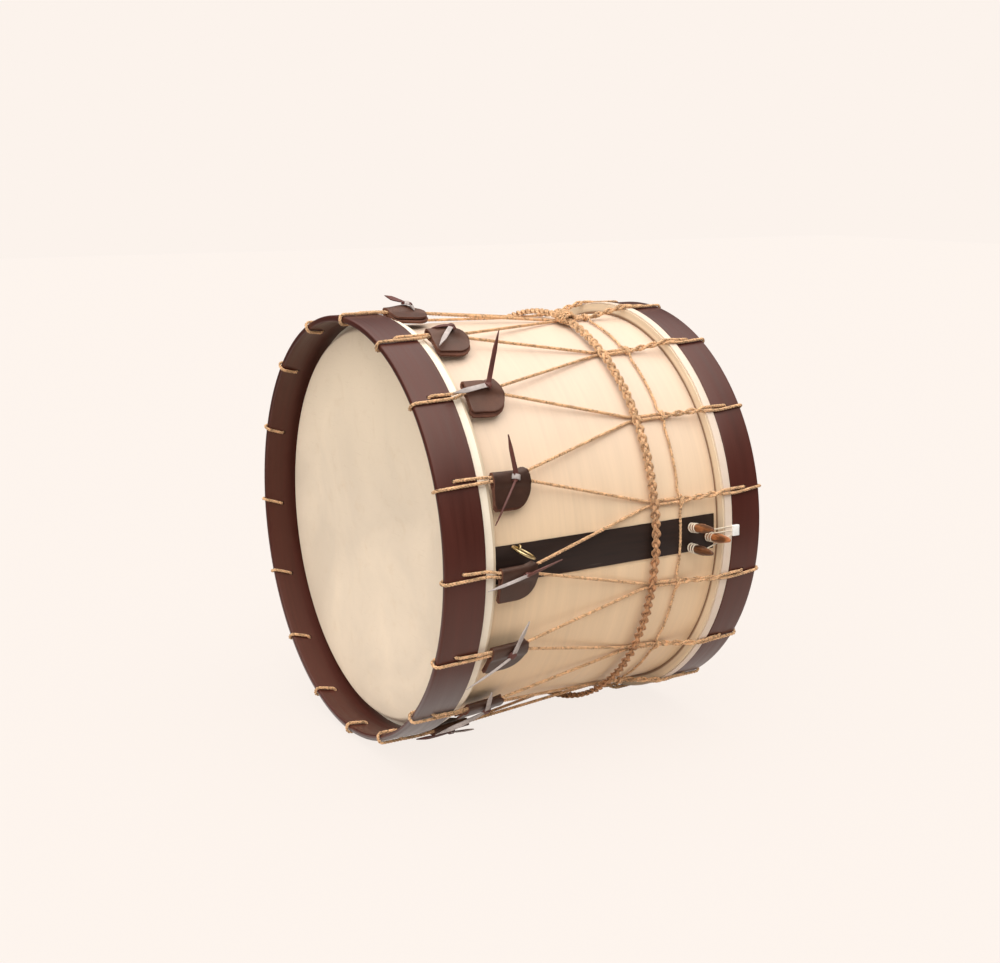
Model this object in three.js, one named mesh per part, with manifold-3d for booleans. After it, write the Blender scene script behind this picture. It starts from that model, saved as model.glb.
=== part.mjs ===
// A rope-tensioned renaissance drum lying on its side, in millimetres with +Z up.
// The drum's axis is X. The origin is the centre of the batter head's playing face, and +X runs
// through the drum towards the snare head. An angle round the drum starts at the top (+Z) and grows
// towards -Y, the side that carries the seam strip, the sling ring and the snare pegs.

import * as THREE from 'three';
import { mergeVertices } from 'three/addons/utils/BufferGeometryUtils.js';
import Module from 'manifold-3d';

const wasm = await Module();
wasm.setup();

// Overall sizes
const DRUM_LENGTH = 324; // from rim to rim
const HEAD_RECESS = 27.2; // from each rim to the face of its head
const SHELL_DIAMETER = 353;
const SHELL_THICKNESS = 6;
const HOOP_ROOM = 3.5; // between the shell and the inside of a counterhoop
const HOOP_THICKNESS = 10;
const BATTER_HOOP_WIDTH = 36;
const SNARE_HOOP_WIDTH = 32;
const HOOP_EDGE = 1.5; // rounding of the counterhoops' edges
const SEAT_GAP = 0.3; // between pieces that touch

// Skins and flesh hoops
const SKIN_THICKNESS = 1;
const SKIN_LIP = 9.7; // how far the skin covers the outside of its flesh hoop
const BEARING_EDGE_DEPTH = 4; // how far the shell's edge is rounded back
const FLESH_HOOP_THICKNESS = 8.7;
const FLESH_HOOP_WIDTH = 12;

// Rope lacing
const STATIONS = 16;
const STATION_PHASE = THREE.MathUtils.degToRad(0.4);
const ROPE_DIAMETER = 3.4;
const ROPE_SIDES = 5;
const ROPE_BEND = 1.8; // inner corner of the rope where it turns through a hole or round a rim
const PAIR_SPACING = 4.3; // between the two strands of a pair
const HOLE_DIAMETER = 5.2;
const HOLE_INSET = 19; // from the rim to the rope holes
const HOLE_SIDES = 6;
const VEE_INSET = 27; // how far behind a tug's front edge its pair starts to spread
const FIRST_STATION = 12; // the rope starts and ends on the side away from the pegs
const STOPPER_RADIUS = 3.4;
const FLOOR_LOOPS = [7, 8]; // the rear loops that the drum lies on, each a piece of its own
const TWIST_STEPS = 4; // in the half turn that each rear pair makes

// Belt and binding cord
const BELT_INSET = 79.5; // from the snare hoop to the belt's middle
const BELT_WIDTH = 10.5;
const BELT_THICKNESS = 6.4;
const BELT_KNOT_ANGLE = THREE.MathUtils.degToRad(11.65);
const BELT_KNOT_SIZE = [15, 17, 11]; // along the drum, round it and outwards
const BINDING_INSET = 48.2; // from the snare hoop
const BINDING_DIAMETER = 2.6;

// Tugs and laces
const TUG_STANDOFF = 14.2; // from the batter hoop to a tug's front edge
const TUG_LENGTH = 36;
const TUG_LEAF = 24; // from the rope pair to the leaves' lower edge
const TUG_CORNER = 15;
const LEATHER = 2;
const TUG_ROOM = 0.7; // round the ropes inside the fold
const LACE_WIDTH = 3.8;
const LACE_THICKNESS = 1.2;
const LACE_PLACE = [1.5, -7.6]; // of the thong's slit, from the tug's middle
const LACE_KNOT = [8, 7, 3.2];
// The free ends of each lace, from the tug's middle: along the rope, round the drum and outwards.
const LACE_TIPS = [
  [[-19.5, -2, 17], [17.5, 14, 6]],
  [[-21.5, 29, 4], [-19.5, -10, 9]],
  [[10.5, -33, 38], [-33.5, 1, 8]],
  [[0.5, -30, 14], [-20.5, 33, 3]],
  [[38.5, -7, 8], [-33.5, 12, 5]],
  [[7.5, -33, 7], [-37.5, 31, 3]],
  [[-12.5, -40, 6], [-37.5, 34, 3]],
  [[-27.5, 22, 4], [24.5, 14, 5]],
  [[-27.5, 14, 5], [28.5, 13, 5]],
];

// Seam strip, sling eye and ring
const STRIP_ANGLE = THREE.MathUtils.degToRad(90.4);
const STRIP_WIDTH = 31.5;
const STRIP_THICKNESS = 0.8;
const EYE_INSET = 38; // from the batter hoop
const EYE_SIDE = -13.6; // round the shell from the strip's middle
const EYE_TURN = THREE.MathUtils.degToRad(-27);
const EYE_WIRE = 1.8;
const EYE_RADIUS = 2.6;
const EYE_HEIGHT = 5.6; // of the loop's centre above the shell
const EYE_SHANK = 12;
const RING_RADIUS = 9.8;
const RING_WIRE = 2.2;

// Snare pegs, gut and guide
const PEG_INSET = 40; // of the upper and lower pegs, from the snare hoop
const PEG_SPACING = 17.7; // between them, round the shell
const MIDDLE_PEG_INSET = 21.3;
const MIDDLE_PEG_SIDE = 1; // round the shell from the strip's middle
const PEG_TILT = THREE.MathUtils.degToRad(6); // up from square to the shell
const PEG_OUT = 37.5; // how far the pegs stand out of the shell
const PEG_IN = 12; // and how far they reach into it
const PEG_DIAMETER = 7;
const PEG_SIDES = 10;
const PEG_HEAD_WIDTH = 8.4;
const PEG_HEAD_FLAT = 0.8; // head's thickness as a part of its width
const PEG_HEAD_LENGTH = 25.5;
const PEG_TIP_WIDTH = 3.4;
const GUT_DIAMETER = 1.5;
const GUT_TURNS = 3;
const GUT_TURN_STEPS = 14;
const GUT_PITCH = 2;
const GUT_SPACING = 4; // between neighbouring runs across the snare head
const GUT_KNOT = 2.6; // diameter of the stopper knot on the middle gut
const WINDING_START = 3; // above the shell
const GUIDE_SIDE = -4.3; // round the hoop from the strip's middle
const GUIDE_LENGTH = 7.4;
const GUIDE_WIDTH = 11.6;
const GUIDE_HEIGHT = 2.9;
const GUIDE_OVERHANG = 1.6; // past the snare hoop's front edge
const GUIDE_SLOT = 2.4;
const GUIDE_SLOT_DEPTH = 2.2;

// Sizes that follow
const SEGMENTS = 3 * STATIONS;
const FACET = (2 * Math.PI) / SEGMENTS;
const PITCH = (2 * Math.PI) / STATIONS;
const SHELL_RADIUS = SHELL_DIAMETER / 2;
const HOOP_INSIDE = SHELL_RADIUS + HOOP_ROOM;
const HOOP_RADIUS = HOOP_INSIDE + HOOP_THICKNESS;
const ROPE_RADIUS = ROPE_DIAMETER / 2;
const BATTER_RIM = -HEAD_RECESS;
const SNARE_RIM = DRUM_LENGTH - HEAD_RECESS;
const SNARE_FACE = SNARE_RIM - HEAD_RECESS;
const BATTER_HOOP_BACK = BATTER_RIM + BATTER_HOOP_WIDTH;
const SNARE_HOOP_FRONT = SNARE_RIM - SNARE_HOOP_WIDTH;
const BELT_PLACE = SNARE_HOOP_FRONT - BELT_INSET;
const BINDING_PLACE = SNARE_HOOP_FRONT - BINDING_INSET;
const PEG_PLACE = SNARE_HOOP_FRONT - PEG_INSET;
const MIDDLE_PEG_PLACE = SNARE_HOOP_FRONT - MIDDLE_PEG_INSET;
const EYE_PLACE = BATTER_HOOP_BACK + EYE_INSET;
const TUG_FRONT = BATTER_HOOP_BACK + TUG_STANDOFF;
const VEE_START = TUG_FRONT + VEE_INSET;
const SHELL_FRONT = SKIN_THICKNESS + SEAT_GAP;
const SHELL_BACK = SNARE_FACE - SHELL_FRONT;
const COLLAR_INSIDE = SHELL_RADIUS + SEAT_GAP;
const FLESH_RADIUS = COLLAR_INSIDE + FLESH_HOOP_THICKNESS;
const LIP_INSIDE = FLESH_RADIUS + SEAT_GAP;
const LIP_OUTSIDE = LIP_INSIDE + SKIN_THICKNESS;
const PAIR_RADIUS = SHELL_RADIUS + SEAT_GAP + ROPE_RADIUS; // where a pair lies on the shell
const FACE_RADIUS = HOOP_RADIUS + SEAT_GAP + ROPE_RADIUS; // where it lies on a counterhoop
const BELT_RADIUS = PAIR_RADIUS + ROPE_RADIUS + SEAT_GAP + BELT_THICKNESS / 2;
const BELT_ENTRY = BELT_PLACE - BELT_WIDTH / 2 - ROPE_DIAMETER / 2;
const FACE_START = BATTER_HOOP_BACK + ROPE_RADIUS;
const ROPE_SLOPE = (FACE_RADIUS - PAIR_RADIUS) / (BELT_ENTRY - FACE_START);
const TUG_MIDDLE = TUG_FRONT + TUG_LENGTH / 2;
const GUT_RADIUS = GUT_DIAMETER / 2;
const GUIDE_ANGLE = STRIP_ANGLE + GUIDE_SIDE / HOOP_RADIUS;
const PEGS = [
  { name: 'snare_peg_upper', x: PEG_PLACE, side: -PEG_SPACING / 2, leaves: 1 },
  { name: 'snare_peg_lower', x: PEG_PLACE, side: PEG_SPACING / 2, leaves: 1 },
  { name: 'snare_peg_middle', x: MIDDLE_PEG_PLACE, side: MIDDLE_PEG_SIDE, leaves: -1 },
];

const frontAngle = (station) => STATION_PHASE + station * PITCH;
const ropeRadiusAt = (x) => FACE_RADIUS - ROPE_SLOPE * (x - FACE_START);

// A point given along the drum, round it and out from its axis, with an offset round the drum in mm.
function onDrum(x, angle, radius, side = 0) {
  const turned = angle + side / radius;
  return new THREE.Vector3(x, -radius * Math.sin(turned), radius * Math.cos(turned));
}

// Makes a geometry one closed skin with its faces outwards.
function closed(geometry) {
  const bare = new THREE.BufferGeometry();
  bare.setAttribute('position', geometry.getAttribute('position').clone());
  if (geometry.index) bare.setIndex(geometry.index.clone());
  const merged = mergeVertices(bare, 1e-4);
  const index = merged.index.array;
  const place = merged.getAttribute('position');
  const corner = [new THREE.Vector3(), new THREE.Vector3(), new THREE.Vector3()];
  const kept = [];
  let volume = 0;
  for (let i = 0; i < index.length; i += 3) {
    const [a, b, c] = [index[i], index[i + 1], index[i + 2]];
    if (a === b || b === c || c === a) continue;
    kept.push(a, b, c);
    [a, b, c].forEach((at, n) => corner[n].fromBufferAttribute(place, at));
    volume += corner[0].dot(corner[1].clone().cross(corner[2]));
  }
  if (volume < 0) kept.reverse();
  merged.setIndex(kept);
  return merged;
}

function toSolid(geometry) {
  const merged = closed(geometry);
  return new wasm.Manifold(
    new wasm.Mesh({
      numProp: 3,
      vertProperties: new Float32Array(merged.getAttribute('position').array),
      triVerts: new Uint32Array(merged.index.array),
    }),
  );
}

function toGeometry(solid) {
  const mesh = solid.getMesh();
  const geometry = new THREE.BufferGeometry();
  geometry.setAttribute('position', new THREE.BufferAttribute(mesh.vertProperties, 3));
  geometry.setIndex(new THREE.BufferAttribute(mesh.triVerts, 1));
  return geometry;
}

function cut(geometry, cutters) {
  const solid = cutters.reduce((left, cutter) => left.subtract(toSolid(cutter)), toSolid(geometry));
  return toGeometry(solid);
}

function join(geometries) {
  const [first, ...others] = geometries.map(toSolid);
  return toGeometry(others.reduce((whole, other) => whole.add(other), first));
}

// Turns a profile of [x, radius] points about the drum's axis, with a flat facet at the bottom.
function revolve(profile) {
  const points = profile.map(([x, radius]) => new THREE.Vector2(radius, x));
  if (profile[0][1] > 0) points.push(points[0].clone());
  const geometry = new THREE.LatheGeometry(points, SEGMENTS, STATION_PHASE + FACET / 2);
  return closed(geometry.rotateZ(-Math.PI / 2));
}

// A tube through points, with a radius for each ring, or a half width and half thickness.
// Rings carry their direction on from one to the next, or keep to a fixed one where it is given.
function tube(points, sizes, sides, { loop = false, steady = null } = {}) {
  const count = points.length;
  const places = [];
  let normal = steady ? steady.clone() : null;
  points.forEach((point, i) => {
    const before = points[loop ? (i + count - 1) % count : Math.max(i - 1, 0)];
    const after = points[loop ? (i + 1) % count : Math.min(i + 1, count - 1)];
    const back = point.clone().sub(before).normalize();
    const ahead = after.clone().sub(point).normalize();
    const along = back.add(ahead).normalize();
    if (!normal) normal = new THREE.Vector3(along.y, along.z, along.x);
    if (steady) normal = steady.clone();
    normal.addScaledVector(along, -normal.dot(along)).normalize();
    const across = along.clone().cross(normal);
    const [wide, thick = wide] = [sizes[i]].flat();
    for (let s = 0; s < sides; s++) {
      const turn = (2 * Math.PI * (s + 0.5)) / sides;
      const at = point.clone().addScaledVector(normal, wide * Math.cos(turn));
      places.push(...at.addScaledVector(across, thick * Math.sin(turn)).toArray());
    }
  });
  const index = [];
  for (let i = 0; i < (loop ? count : count - 1); i++) {
    const next = (i + 1) % count;
    for (let s = 0; s < sides; s++) {
      const [a, b] = [i * sides + s, i * sides + ((s + 1) % sides)];
      const [c, d] = [next * sides + s, next * sides + ((s + 1) % sides)];
      index.push(a, b, c, b, d, c);
    }
  }
  for (let s = 1; s < sides - 1 && !loop; s++) {
    const end = (count - 1) * sides;
    index.push(0, s + 1, s, end, end + s, end + s + 1);
  }
  const geometry = new THREE.BufferGeometry();
  geometry.setAttribute('position', new THREE.Float32BufferAttribute(places, 3));
  geometry.setIndex(index);
  return closed(geometry);
}

// A round bar standing out from the drum's axis at a place on the shell.
function radialBar(x, angle, side, radius, from, to, sides) {
  const bar = new THREE.CylinderGeometry(radius, radius, to - from, sides);
  bar.rotateX(Math.PI / 2).translate(x, 0, (from + to) / 2);
  return bar.rotateX(angle + side / SHELL_RADIUS);
}

// Shell, skins and hoops
function shellGeometry() {
  const inside = SHELL_RADIUS - SHELL_THICKNESS;
  const crown = SHELL_RADIUS - SHELL_THICKNESS / 2;
  const blank = revolve([
    [SHELL_FRONT, crown],
    [SHELL_FRONT + BEARING_EDGE_DEPTH, SHELL_RADIUS],
    [SHELL_BACK - BEARING_EDGE_DEPTH, SHELL_RADIUS],
    [SHELL_BACK, crown],
    [SHELL_BACK - BEARING_EDGE_DEPTH, inside],
    [SHELL_FRONT + BEARING_EDGE_DEPTH, inside],
  ]);
  return cut(blank, stripHoles());
}

// A head's profile starts at the centre of its face. inwards is +1 where the drum lies towards +X.
function headGeometry(face, hoopEdge, inwards) {
  const crown = SHELL_RADIUS - SHELL_THICKNESS / 2;
  const under = face + inwards * SKIN_THICKNESS;
  const shoulder = face + inwards * (SKIN_THICKNESS + BEARING_EDGE_DEPTH);
  const seat = hoopEdge + inwards * SEAT_GAP;
  const seatBack = seat + inwards * SKIN_THICKNESS;
  const lipEnd = seat + inwards * SKIN_LIP;
  return revolve([
    [face, 0],
    [face, crown],
    [shoulder, COLLAR_INSIDE + SKIN_THICKNESS],
    [seat, COLLAR_INSIDE + SKIN_THICKNESS],
    [seat, LIP_OUTSIDE],
    [lipEnd, LIP_OUTSIDE],
    [lipEnd, LIP_INSIDE],
    [seatBack, LIP_INSIDE],
    [seatBack, COLLAR_INSIDE],
    [shoulder, COLLAR_INSIDE],
    [under, crown],
    [under, 0],
  ]);
}

function fleshHoopGeometry(hoopEdge, inwards) {
  const start = hoopEdge + inwards * (SKIN_THICKNESS + 2 * SEAT_GAP);
  const end = start + inwards * FLESH_HOOP_WIDTH;
  const bevel = inwards * HOOP_EDGE;
  return revolve([
    [start, COLLAR_INSIDE],
    [start, FLESH_RADIUS],
    [end - bevel, FLESH_RADIUS],
    [end, FLESH_RADIUS - HOOP_EDGE],
    [end, COLLAR_INSIDE],
  ]);
}

function counterhoopGeometry(low, high, holes) {
  const blank = revolve([
    [low, HOOP_INSIDE + HOOP_EDGE],
    [low, HOOP_RADIUS - HOOP_EDGE],
    [low + HOOP_EDGE, HOOP_RADIUS],
    [high - HOOP_EDGE, HOOP_RADIUS],
    [high, HOOP_RADIUS - HOOP_EDGE],
    [high, HOOP_INSIDE + HOOP_EDGE],
    [high - HOOP_EDGE, HOOP_INSIDE],
    [low + HOOP_EDGE, HOOP_INSIDE],
  ]);
  return cut(blank, holes);
}

function hoopHole(x, angle, side, diameter) {
  const radius = diameter / 2 / Math.cos(Math.PI / HOLE_SIDES);
  const onShell = side * (SHELL_RADIUS / HOOP_RADIUS);
  return radialBar(x, angle, onShell, radius, SHELL_RADIUS, HOOP_RADIUS + HOOP_THICKNESS, HOLE_SIDES);
}

function ropeHoles(x, firstStation) {
  return Array.from({ length: STATIONS }, (_, k) =>
    hoopHole(x, frontAngle(firstStation + k), -PAIR_SPACING / 2, HOLE_DIAMETER),
  );
}

// The lacing rope. A loop round a hoop goes through the hole, along the inside and back over the rim.
function hoopLoop(rim, inwards, angle) {
  const inside = HOOP_INSIDE - SEAT_GAP - ROPE_RADIUS;
  const past = -SEAT_GAP - ROPE_RADIUS;
  const half = PAIR_SPACING / 2;
  return [
    [HOLE_INSET + ROPE_BEND, FACE_RADIUS, -half],
    [HOLE_INSET, FACE_RADIUS - ROPE_BEND, -half],
    [HOLE_INSET, inside + ROPE_BEND, -half],
    [HOLE_INSET - ROPE_BEND, inside, -half],
    [past + ROPE_BEND, inside, half],
    [past, inside + ROPE_BEND, half],
    [past, FACE_RADIUS - ROPE_BEND, half],
    [past + ROPE_BEND, FACE_RADIUS, half],
  ].map(([depth, radius, side]) => onDrum(rim + inwards * depth, angle, radius, side));
}

// One strand of a rear pair from the belt to the snare hoop: under the belt and the binding cord,
// half a turn round its partner, then up over the flesh hoop. It starts on the given side.
function rearRun(angle, side) {
  const half = PAIR_SPACING / 2;
  const fleshFront = SNARE_HOOP_FRONT - FLESH_HOOP_WIDTH - SKIN_THICKNESS - 2 * SEAT_GAP;
  const overFlesh = LIP_OUTSIDE + SEAT_GAP + ROPE_RADIUS;
  const twistStart = BINDING_PLACE + 2 * ROPE_DIAMETER;
  const points = [onDrum(BELT_ENTRY, angle, PAIR_RADIUS, side * half)];
  for (let i = 0; i <= TWIST_STEPS; i++) {
    const part = i / TWIST_STEPS;
    const turn = Math.PI * part;
    const radius = PAIR_RADIUS + (overFlesh - PAIR_RADIUS) * part;
    const x = twistStart + (fleshFront - twistStart) * part;
    const lift = half * Math.sin(turn);
    points.push(onDrum(x, angle, radius + side * lift, side * half * Math.cos(turn)));
  }
  points.push(onDrum(SNARE_HOOP_FRONT - ROPE_DIAMETER, angle, FACE_RADIUS, -side * half));
  return points;
}

// One strand of a front pair, from the batter hoop back to where the pair spreads.
function frontRun(angle, side) {
  const half = (side * PAIR_SPACING) / 2;
  return [
    onDrum(FACE_START, angle, FACE_RADIUS, half),
    onDrum(VEE_START, angle, ropeRadiusAt(VEE_START), half),
  ];
}

// The runs of the lacing rope, and the loops that the drum lies on.
function lacingRopeGeometries() {
  const inside = HOOP_INSIDE - SEAT_GAP;
  const hole = SNARE_RIM - HOLE_INSET;
  const half = PAIR_SPACING / 2;
  const startAngle = frontAngle(FIRST_STATION - 0.5);
  const runs = [];
  const loops = [];
  let points = [];
  let sizes = [];
  const add = (list, radius = ROPE_RADIUS) => {
    points.push(...list);
    sizes.push(...list.map(() => radius));
  };
  const cut = (made) => {
    made.push(tube(points, sizes, ROPE_SIDES));
    points = [];
    sizes = [];
  };
  const loopEnd = SNARE_HOOP_FRONT - ROPE_DIAMETER + 2 * SEAT_GAP;
  const stopper = (list) => {
    [ROPE_RADIUS, STOPPER_RADIUS, STOPPER_RADIUS, ROPE_RADIUS].forEach((radius, i) => add([list[i]], radius));
  };
  // the start, held by a stopper knot inside the snare hoop
  stopper(
    [2.2 * STOPPER_RADIUS, 1.9 * STOPPER_RADIUS, 0.6 * STOPPER_RADIUS, 0.2 * STOPPER_RADIUS].map((depth) =>
      onDrum(hole, startAngle, inside - depth, -half),
    ),
  );
  add([
    onDrum(hole, startAngle, FACE_RADIUS - ROPE_BEND, -half),
    onDrum(hole - ROPE_BEND, startAngle, FACE_RADIUS, -half),
  ]);
  add(rearRun(startAngle, 1).reverse());
  for (let k = FIRST_STATION; k < FIRST_STATION + STATIONS; k++) {
    const front = frontAngle(k);
    const rear = frontAngle(k + 0.5);
    add(frontRun(front, -1).reverse());
    add(hoopLoop(BATTER_RIM, 1, front));
    add(frontRun(front, 1));
    add(rearRun(rear, -1));
    if (FLOOR_LOOPS.includes(k % STATIONS)) {
      cut(runs);
      add([onDrum(loopEnd, rear, FACE_RADIUS, half)]);
      add(hoopLoop(SNARE_RIM, -1, rear).reverse());
      add([onDrum(loopEnd, rear, FACE_RADIUS, -half)]);
      cut(loops);
      add(rearRun(rear, 1).reverse());
    } else if (k < FIRST_STATION + STATIONS - 1) {
      add(hoopLoop(SNARE_RIM, -1, rear).reverse());
      add(rearRun(rear, 1).reverse());
    } else {
      // the end, over the rim to a stopper knot beside the first
      add(hoopLoop(SNARE_RIM, -1, rear).slice(4).reverse());
      stopper(
        [4.6, 5.6, 9.6, 10.6].map((depth) =>
          onDrum(SNARE_RIM - depth, rear, inside - STOPPER_RADIUS, half + depth * 0.7),
        ),
      );
    }
  }
  cut(runs);
  return { runs, loops };
}

// Belt and binding cord
function beltGeometry() {
  const points = Array.from({ length: SEGMENTS }, (_, i) => onDrum(BELT_PLACE, i * FACET, BELT_RADIUS));
  const section = points.map(() => [BELT_WIDTH / 2, BELT_THICKNESS / 2]);
  const ring = tube(points, section, 6, { loop: true, steady: new THREE.Vector3(1, 0, 0) });
  const [length, width, height] = BELT_KNOT_SIZE;
  const knot = new THREE.SphereGeometry(0.5, 8, 6);
  const seat = PAIR_RADIUS + ROPE_RADIUS + SEAT_GAP;
  knot.scale(length, width, height).translate(BELT_PLACE, 0, seat + height / 2);
  return join([ring, knot.rotateX(BELT_KNOT_ANGLE)]);
}

// The binding cord lies near the shell and rises over each rope pair.
function bindingGeometry() {
  const radius = BINDING_DIAMETER / 2;
  const low = SHELL_RADIUS + STRIP_THICKNESS + 4 * SEAT_GAP + radius;
  const high = PAIR_RADIUS + ROPE_RADIUS + SEAT_GAP + radius;
  const over = PAIR_SPACING / 2 + ROPE_RADIUS;
  const foot = over + 1.6 * BINDING_DIAMETER;
  const points = [];
  for (let k = 0; k < STATIONS; k++) {
    const angle = frontAngle(k + 0.5);
    points.push(onDrum(BINDING_PLACE, angle, low, -foot));
    points.push(onDrum(BINDING_PLACE, angle, high, -over));
    points.push(onDrum(BINDING_PLACE, angle, high, over));
    points.push(onDrum(BINDING_PLACE, angle, low, foot));
    points.push(onDrum(BINDING_PLACE, frontAngle(k + 1), low));
  }
  return tube(points, points.map(() => radius), 5, { loop: true, steady: new THREE.Vector3(1, 0, 0) });
}

// Tugs, in a frame on the rope pair: x along the ropes, y to the folded side and z outwards.
// The strip of leather is folded round the pair, which spreads towards the back.
function tugSection(x, foldInside) {
  const room = ROPE_RADIUS + TUG_ROOM;
  const pinch = room + LEATHER / 2;
  const flat = (LEATHER + SEAT_GAP) / 2;
  const centre = foldInside - room;
  const lower = -PAIR_SPACING / 2 - 3.2 * ROPE_RADIUS;
  const half = [
    [-TUG_LEAF, flat],
    [lower - 2 * LEATHER, flat],
    [lower, pinch],
    [centre, pinch],
    [centre + pinch * Math.SQRT1_2, pinch * Math.SQRT1_2],
  ];
  const line = [...half, [centre + pinch, 0], ...half.map(([y, z]) => [y, -z]).reverse()];
  const middle = line.map(([y, z]) => new THREE.Vector2(y, z));
  const offset = (distance) =>
    middle.map((point, i) => {
      const before = middle[Math.max(i - 1, 0)];
      const after = middle[Math.min(i + 1, middle.length - 1)];
      const along = after.clone().sub(before).normalize();
      return new THREE.Vector3(x, point.x - distance * along.y, point.y + distance * along.x);
    });
  return [...offset(LEATHER / 2), ...offset(-LEATHER / 2).reverse()];
}

function tugGeometry() {
  const half = TUG_LENGTH / 2;
  const spread = (frontAngle(0.5) - frontAngle(0)) * PAIR_RADIUS - PAIR_SPACING;
  const reach = TUG_FRONT + TUG_LENGTH - VEE_START;
  const opening = (spread * reach) / (BELT_ENTRY - VEE_START);
  const tight = PAIR_SPACING / 2 + ROPE_RADIUS + SEAT_GAP;
  const sections = [tugSection(-half, tight), tugSection(half, tight + opening + SEAT_GAP)];
  const size = sections[0].length;
  const places = sections.flat().flatMap((point) => point.toArray());
  const index = [];
  for (let i = 0; i < size; i++) {
    const next = (i + 1) % size;
    index.push(i, next, size + i, next, size + next, size + i);
  }
  // each end is a strip between the outer and inner lines
  for (let i = 0; i < size / 2 - 1; i++) {
    const far = size - 1 - i;
    index.push(i, far, i + 1, i + 1, far, far - 1);
    index.push(size + i, size + i + 1, size + far, size + i + 1, size + far - 1, size + far);
  }
  const fold = new THREE.BufferGeometry();
  fold.setAttribute('position', new THREE.Float32BufferAttribute(places, 3));
  fold.setIndex(index);
  const trimmed = toSolid(fold).intersect(toSolid(tugOutline()));
  const slit = new THREE.BoxGeometry(LACE_WIDTH, LACE_THICKNESS + 2 * SEAT_GAP, 4 * TUG_CORNER);
  slit.translate(LACE_PLACE[0], LACE_PLACE[1], 0);
  return toGeometry(trimmed.subtract(toSolid(slit)));
}

// The leaves' outline has square front corners and a large round at the back.
function tugOutline() {
  const half = TUG_LENGTH / 2;
  const top = TUG_LEAF;
  const small = TUG_CORNER / 5;
  const outline = new THREE.Shape();
  outline.moveTo(-half, top);
  outline.lineTo(-half, -TUG_LEAF + small);
  outline.lineTo(-half + small, -TUG_LEAF);
  outline.lineTo(half - TUG_CORNER, -TUG_LEAF);
  outline.absarc(half - TUG_CORNER, -TUG_LEAF + TUG_CORNER, TUG_CORNER, -Math.PI / 2, 0, false);
  outline.lineTo(half, top);
  const depth = 4 * TUG_CORNER;
  const prism = new THREE.ExtrudeGeometry(outline, { depth, bevelEnabled: false, curveSegments: 4 });
  return prism.translate(0, 0, -depth / 2);
}

// A lace goes through both leaves, is knotted outside and ends in two pointed tails.
function laceGeometry(tips) {
  const [slitX, slitY] = LACE_PLACE;
  const outside = ROPE_RADIUS + TUG_ROOM + LEATHER;
  const [length, width, height] = LACE_KNOT;
  const bottom = outside + SEAT_GAP;
  const middle = new THREE.Vector3(slitX, slitY + 2, bottom + height / 2);
  const [first, second] = tips.map(([x, around, out]) => new THREE.Vector3(x, -around, out));
  const arm = (tip) => {
    const raised = middle.clone().lerp(tip, 0.45);
    raised.z = Math.max(raised.z, bottom + height / 2);
    return new THREE.QuadraticBezierCurve3(middle, raised, tip).getPoints(4);
  };
  const points = [...arm(first).reverse(), ...arm(second).slice(1)];
  const taper = [0.16, 0.55, 0.8, 0.95, 1];
  const share = [...taper, ...taper.slice(0, 4).reverse()];
  const section = share.map((part) => [(part * LACE_WIDTH) / 2, LACE_THICKNESS / 2]);
  const across = second.clone().sub(first).cross(new THREE.Vector3(0, 0, 1)).normalize();
  const strap = tube(points, section, 4, { steady: across });
  const knot = new THREE.SphereGeometry(0.5, 6, 4);
  knot.rotateX(Math.PI / 2).scale(length, width, height).translate(slitX, slitY + 2, bottom + height / 2);
  const stemLow = -outside - SEAT_GAP;
  const stemHigh = bottom + height / 2;
  const stem = new THREE.BoxGeometry(LACE_WIDTH - 2 * SEAT_GAP, LACE_THICKNESS, stemHigh - stemLow);
  stem.translate(slitX, slitY, (stemLow + stemHigh) / 2);
  const bight = new THREE.BoxGeometry(LACE_WIDTH, 3 * LACE_THICKNESS, LACE_THICKNESS);
  bight.translate(slitX, slitY, stemLow - LACE_THICKNESS / 2 + 0.01);
  return join([strap, knot, stem, bight]);
}

// Seam strip with the holes that it shares with the shell
const pegAngle = (peg) => STRIP_ANGLE + peg.side / SHELL_RADIUS;

function pegHole(peg, radius, reach) {
  const bar = new THREE.CylinderGeometry(radius, radius, 2 * reach, PEG_SIDES).rotateX(Math.PI / 2);
  const base = onDrum(peg.x, pegAngle(peg), SHELL_RADIUS);
  return bar.rotateX(pegAngle(peg) - PEG_TILT).translate(base.x, base.y, base.z);
}

function stripHoles() {
  const [low, high] = [SHELL_RADIUS - 3 * SHELL_THICKNESS, SHELL_RADIUS + 3 * SHELL_THICKNESS];
  const around = 1 / Math.cos(Math.PI / PEG_SIDES);
  const peg = (PEG_DIAMETER / 2 + SEAT_GAP) * around;
  const eye = (EYE_WIRE / 2 + SEAT_GAP) * around;
  return [
    ...PEGS.map((one) => pegHole(one, peg, 3 * SHELL_THICKNESS)),
    radialBar(EYE_PLACE, STRIP_ANGLE, EYE_SIDE, eye, low, high, PEG_SIDES),
  ];
}

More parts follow.
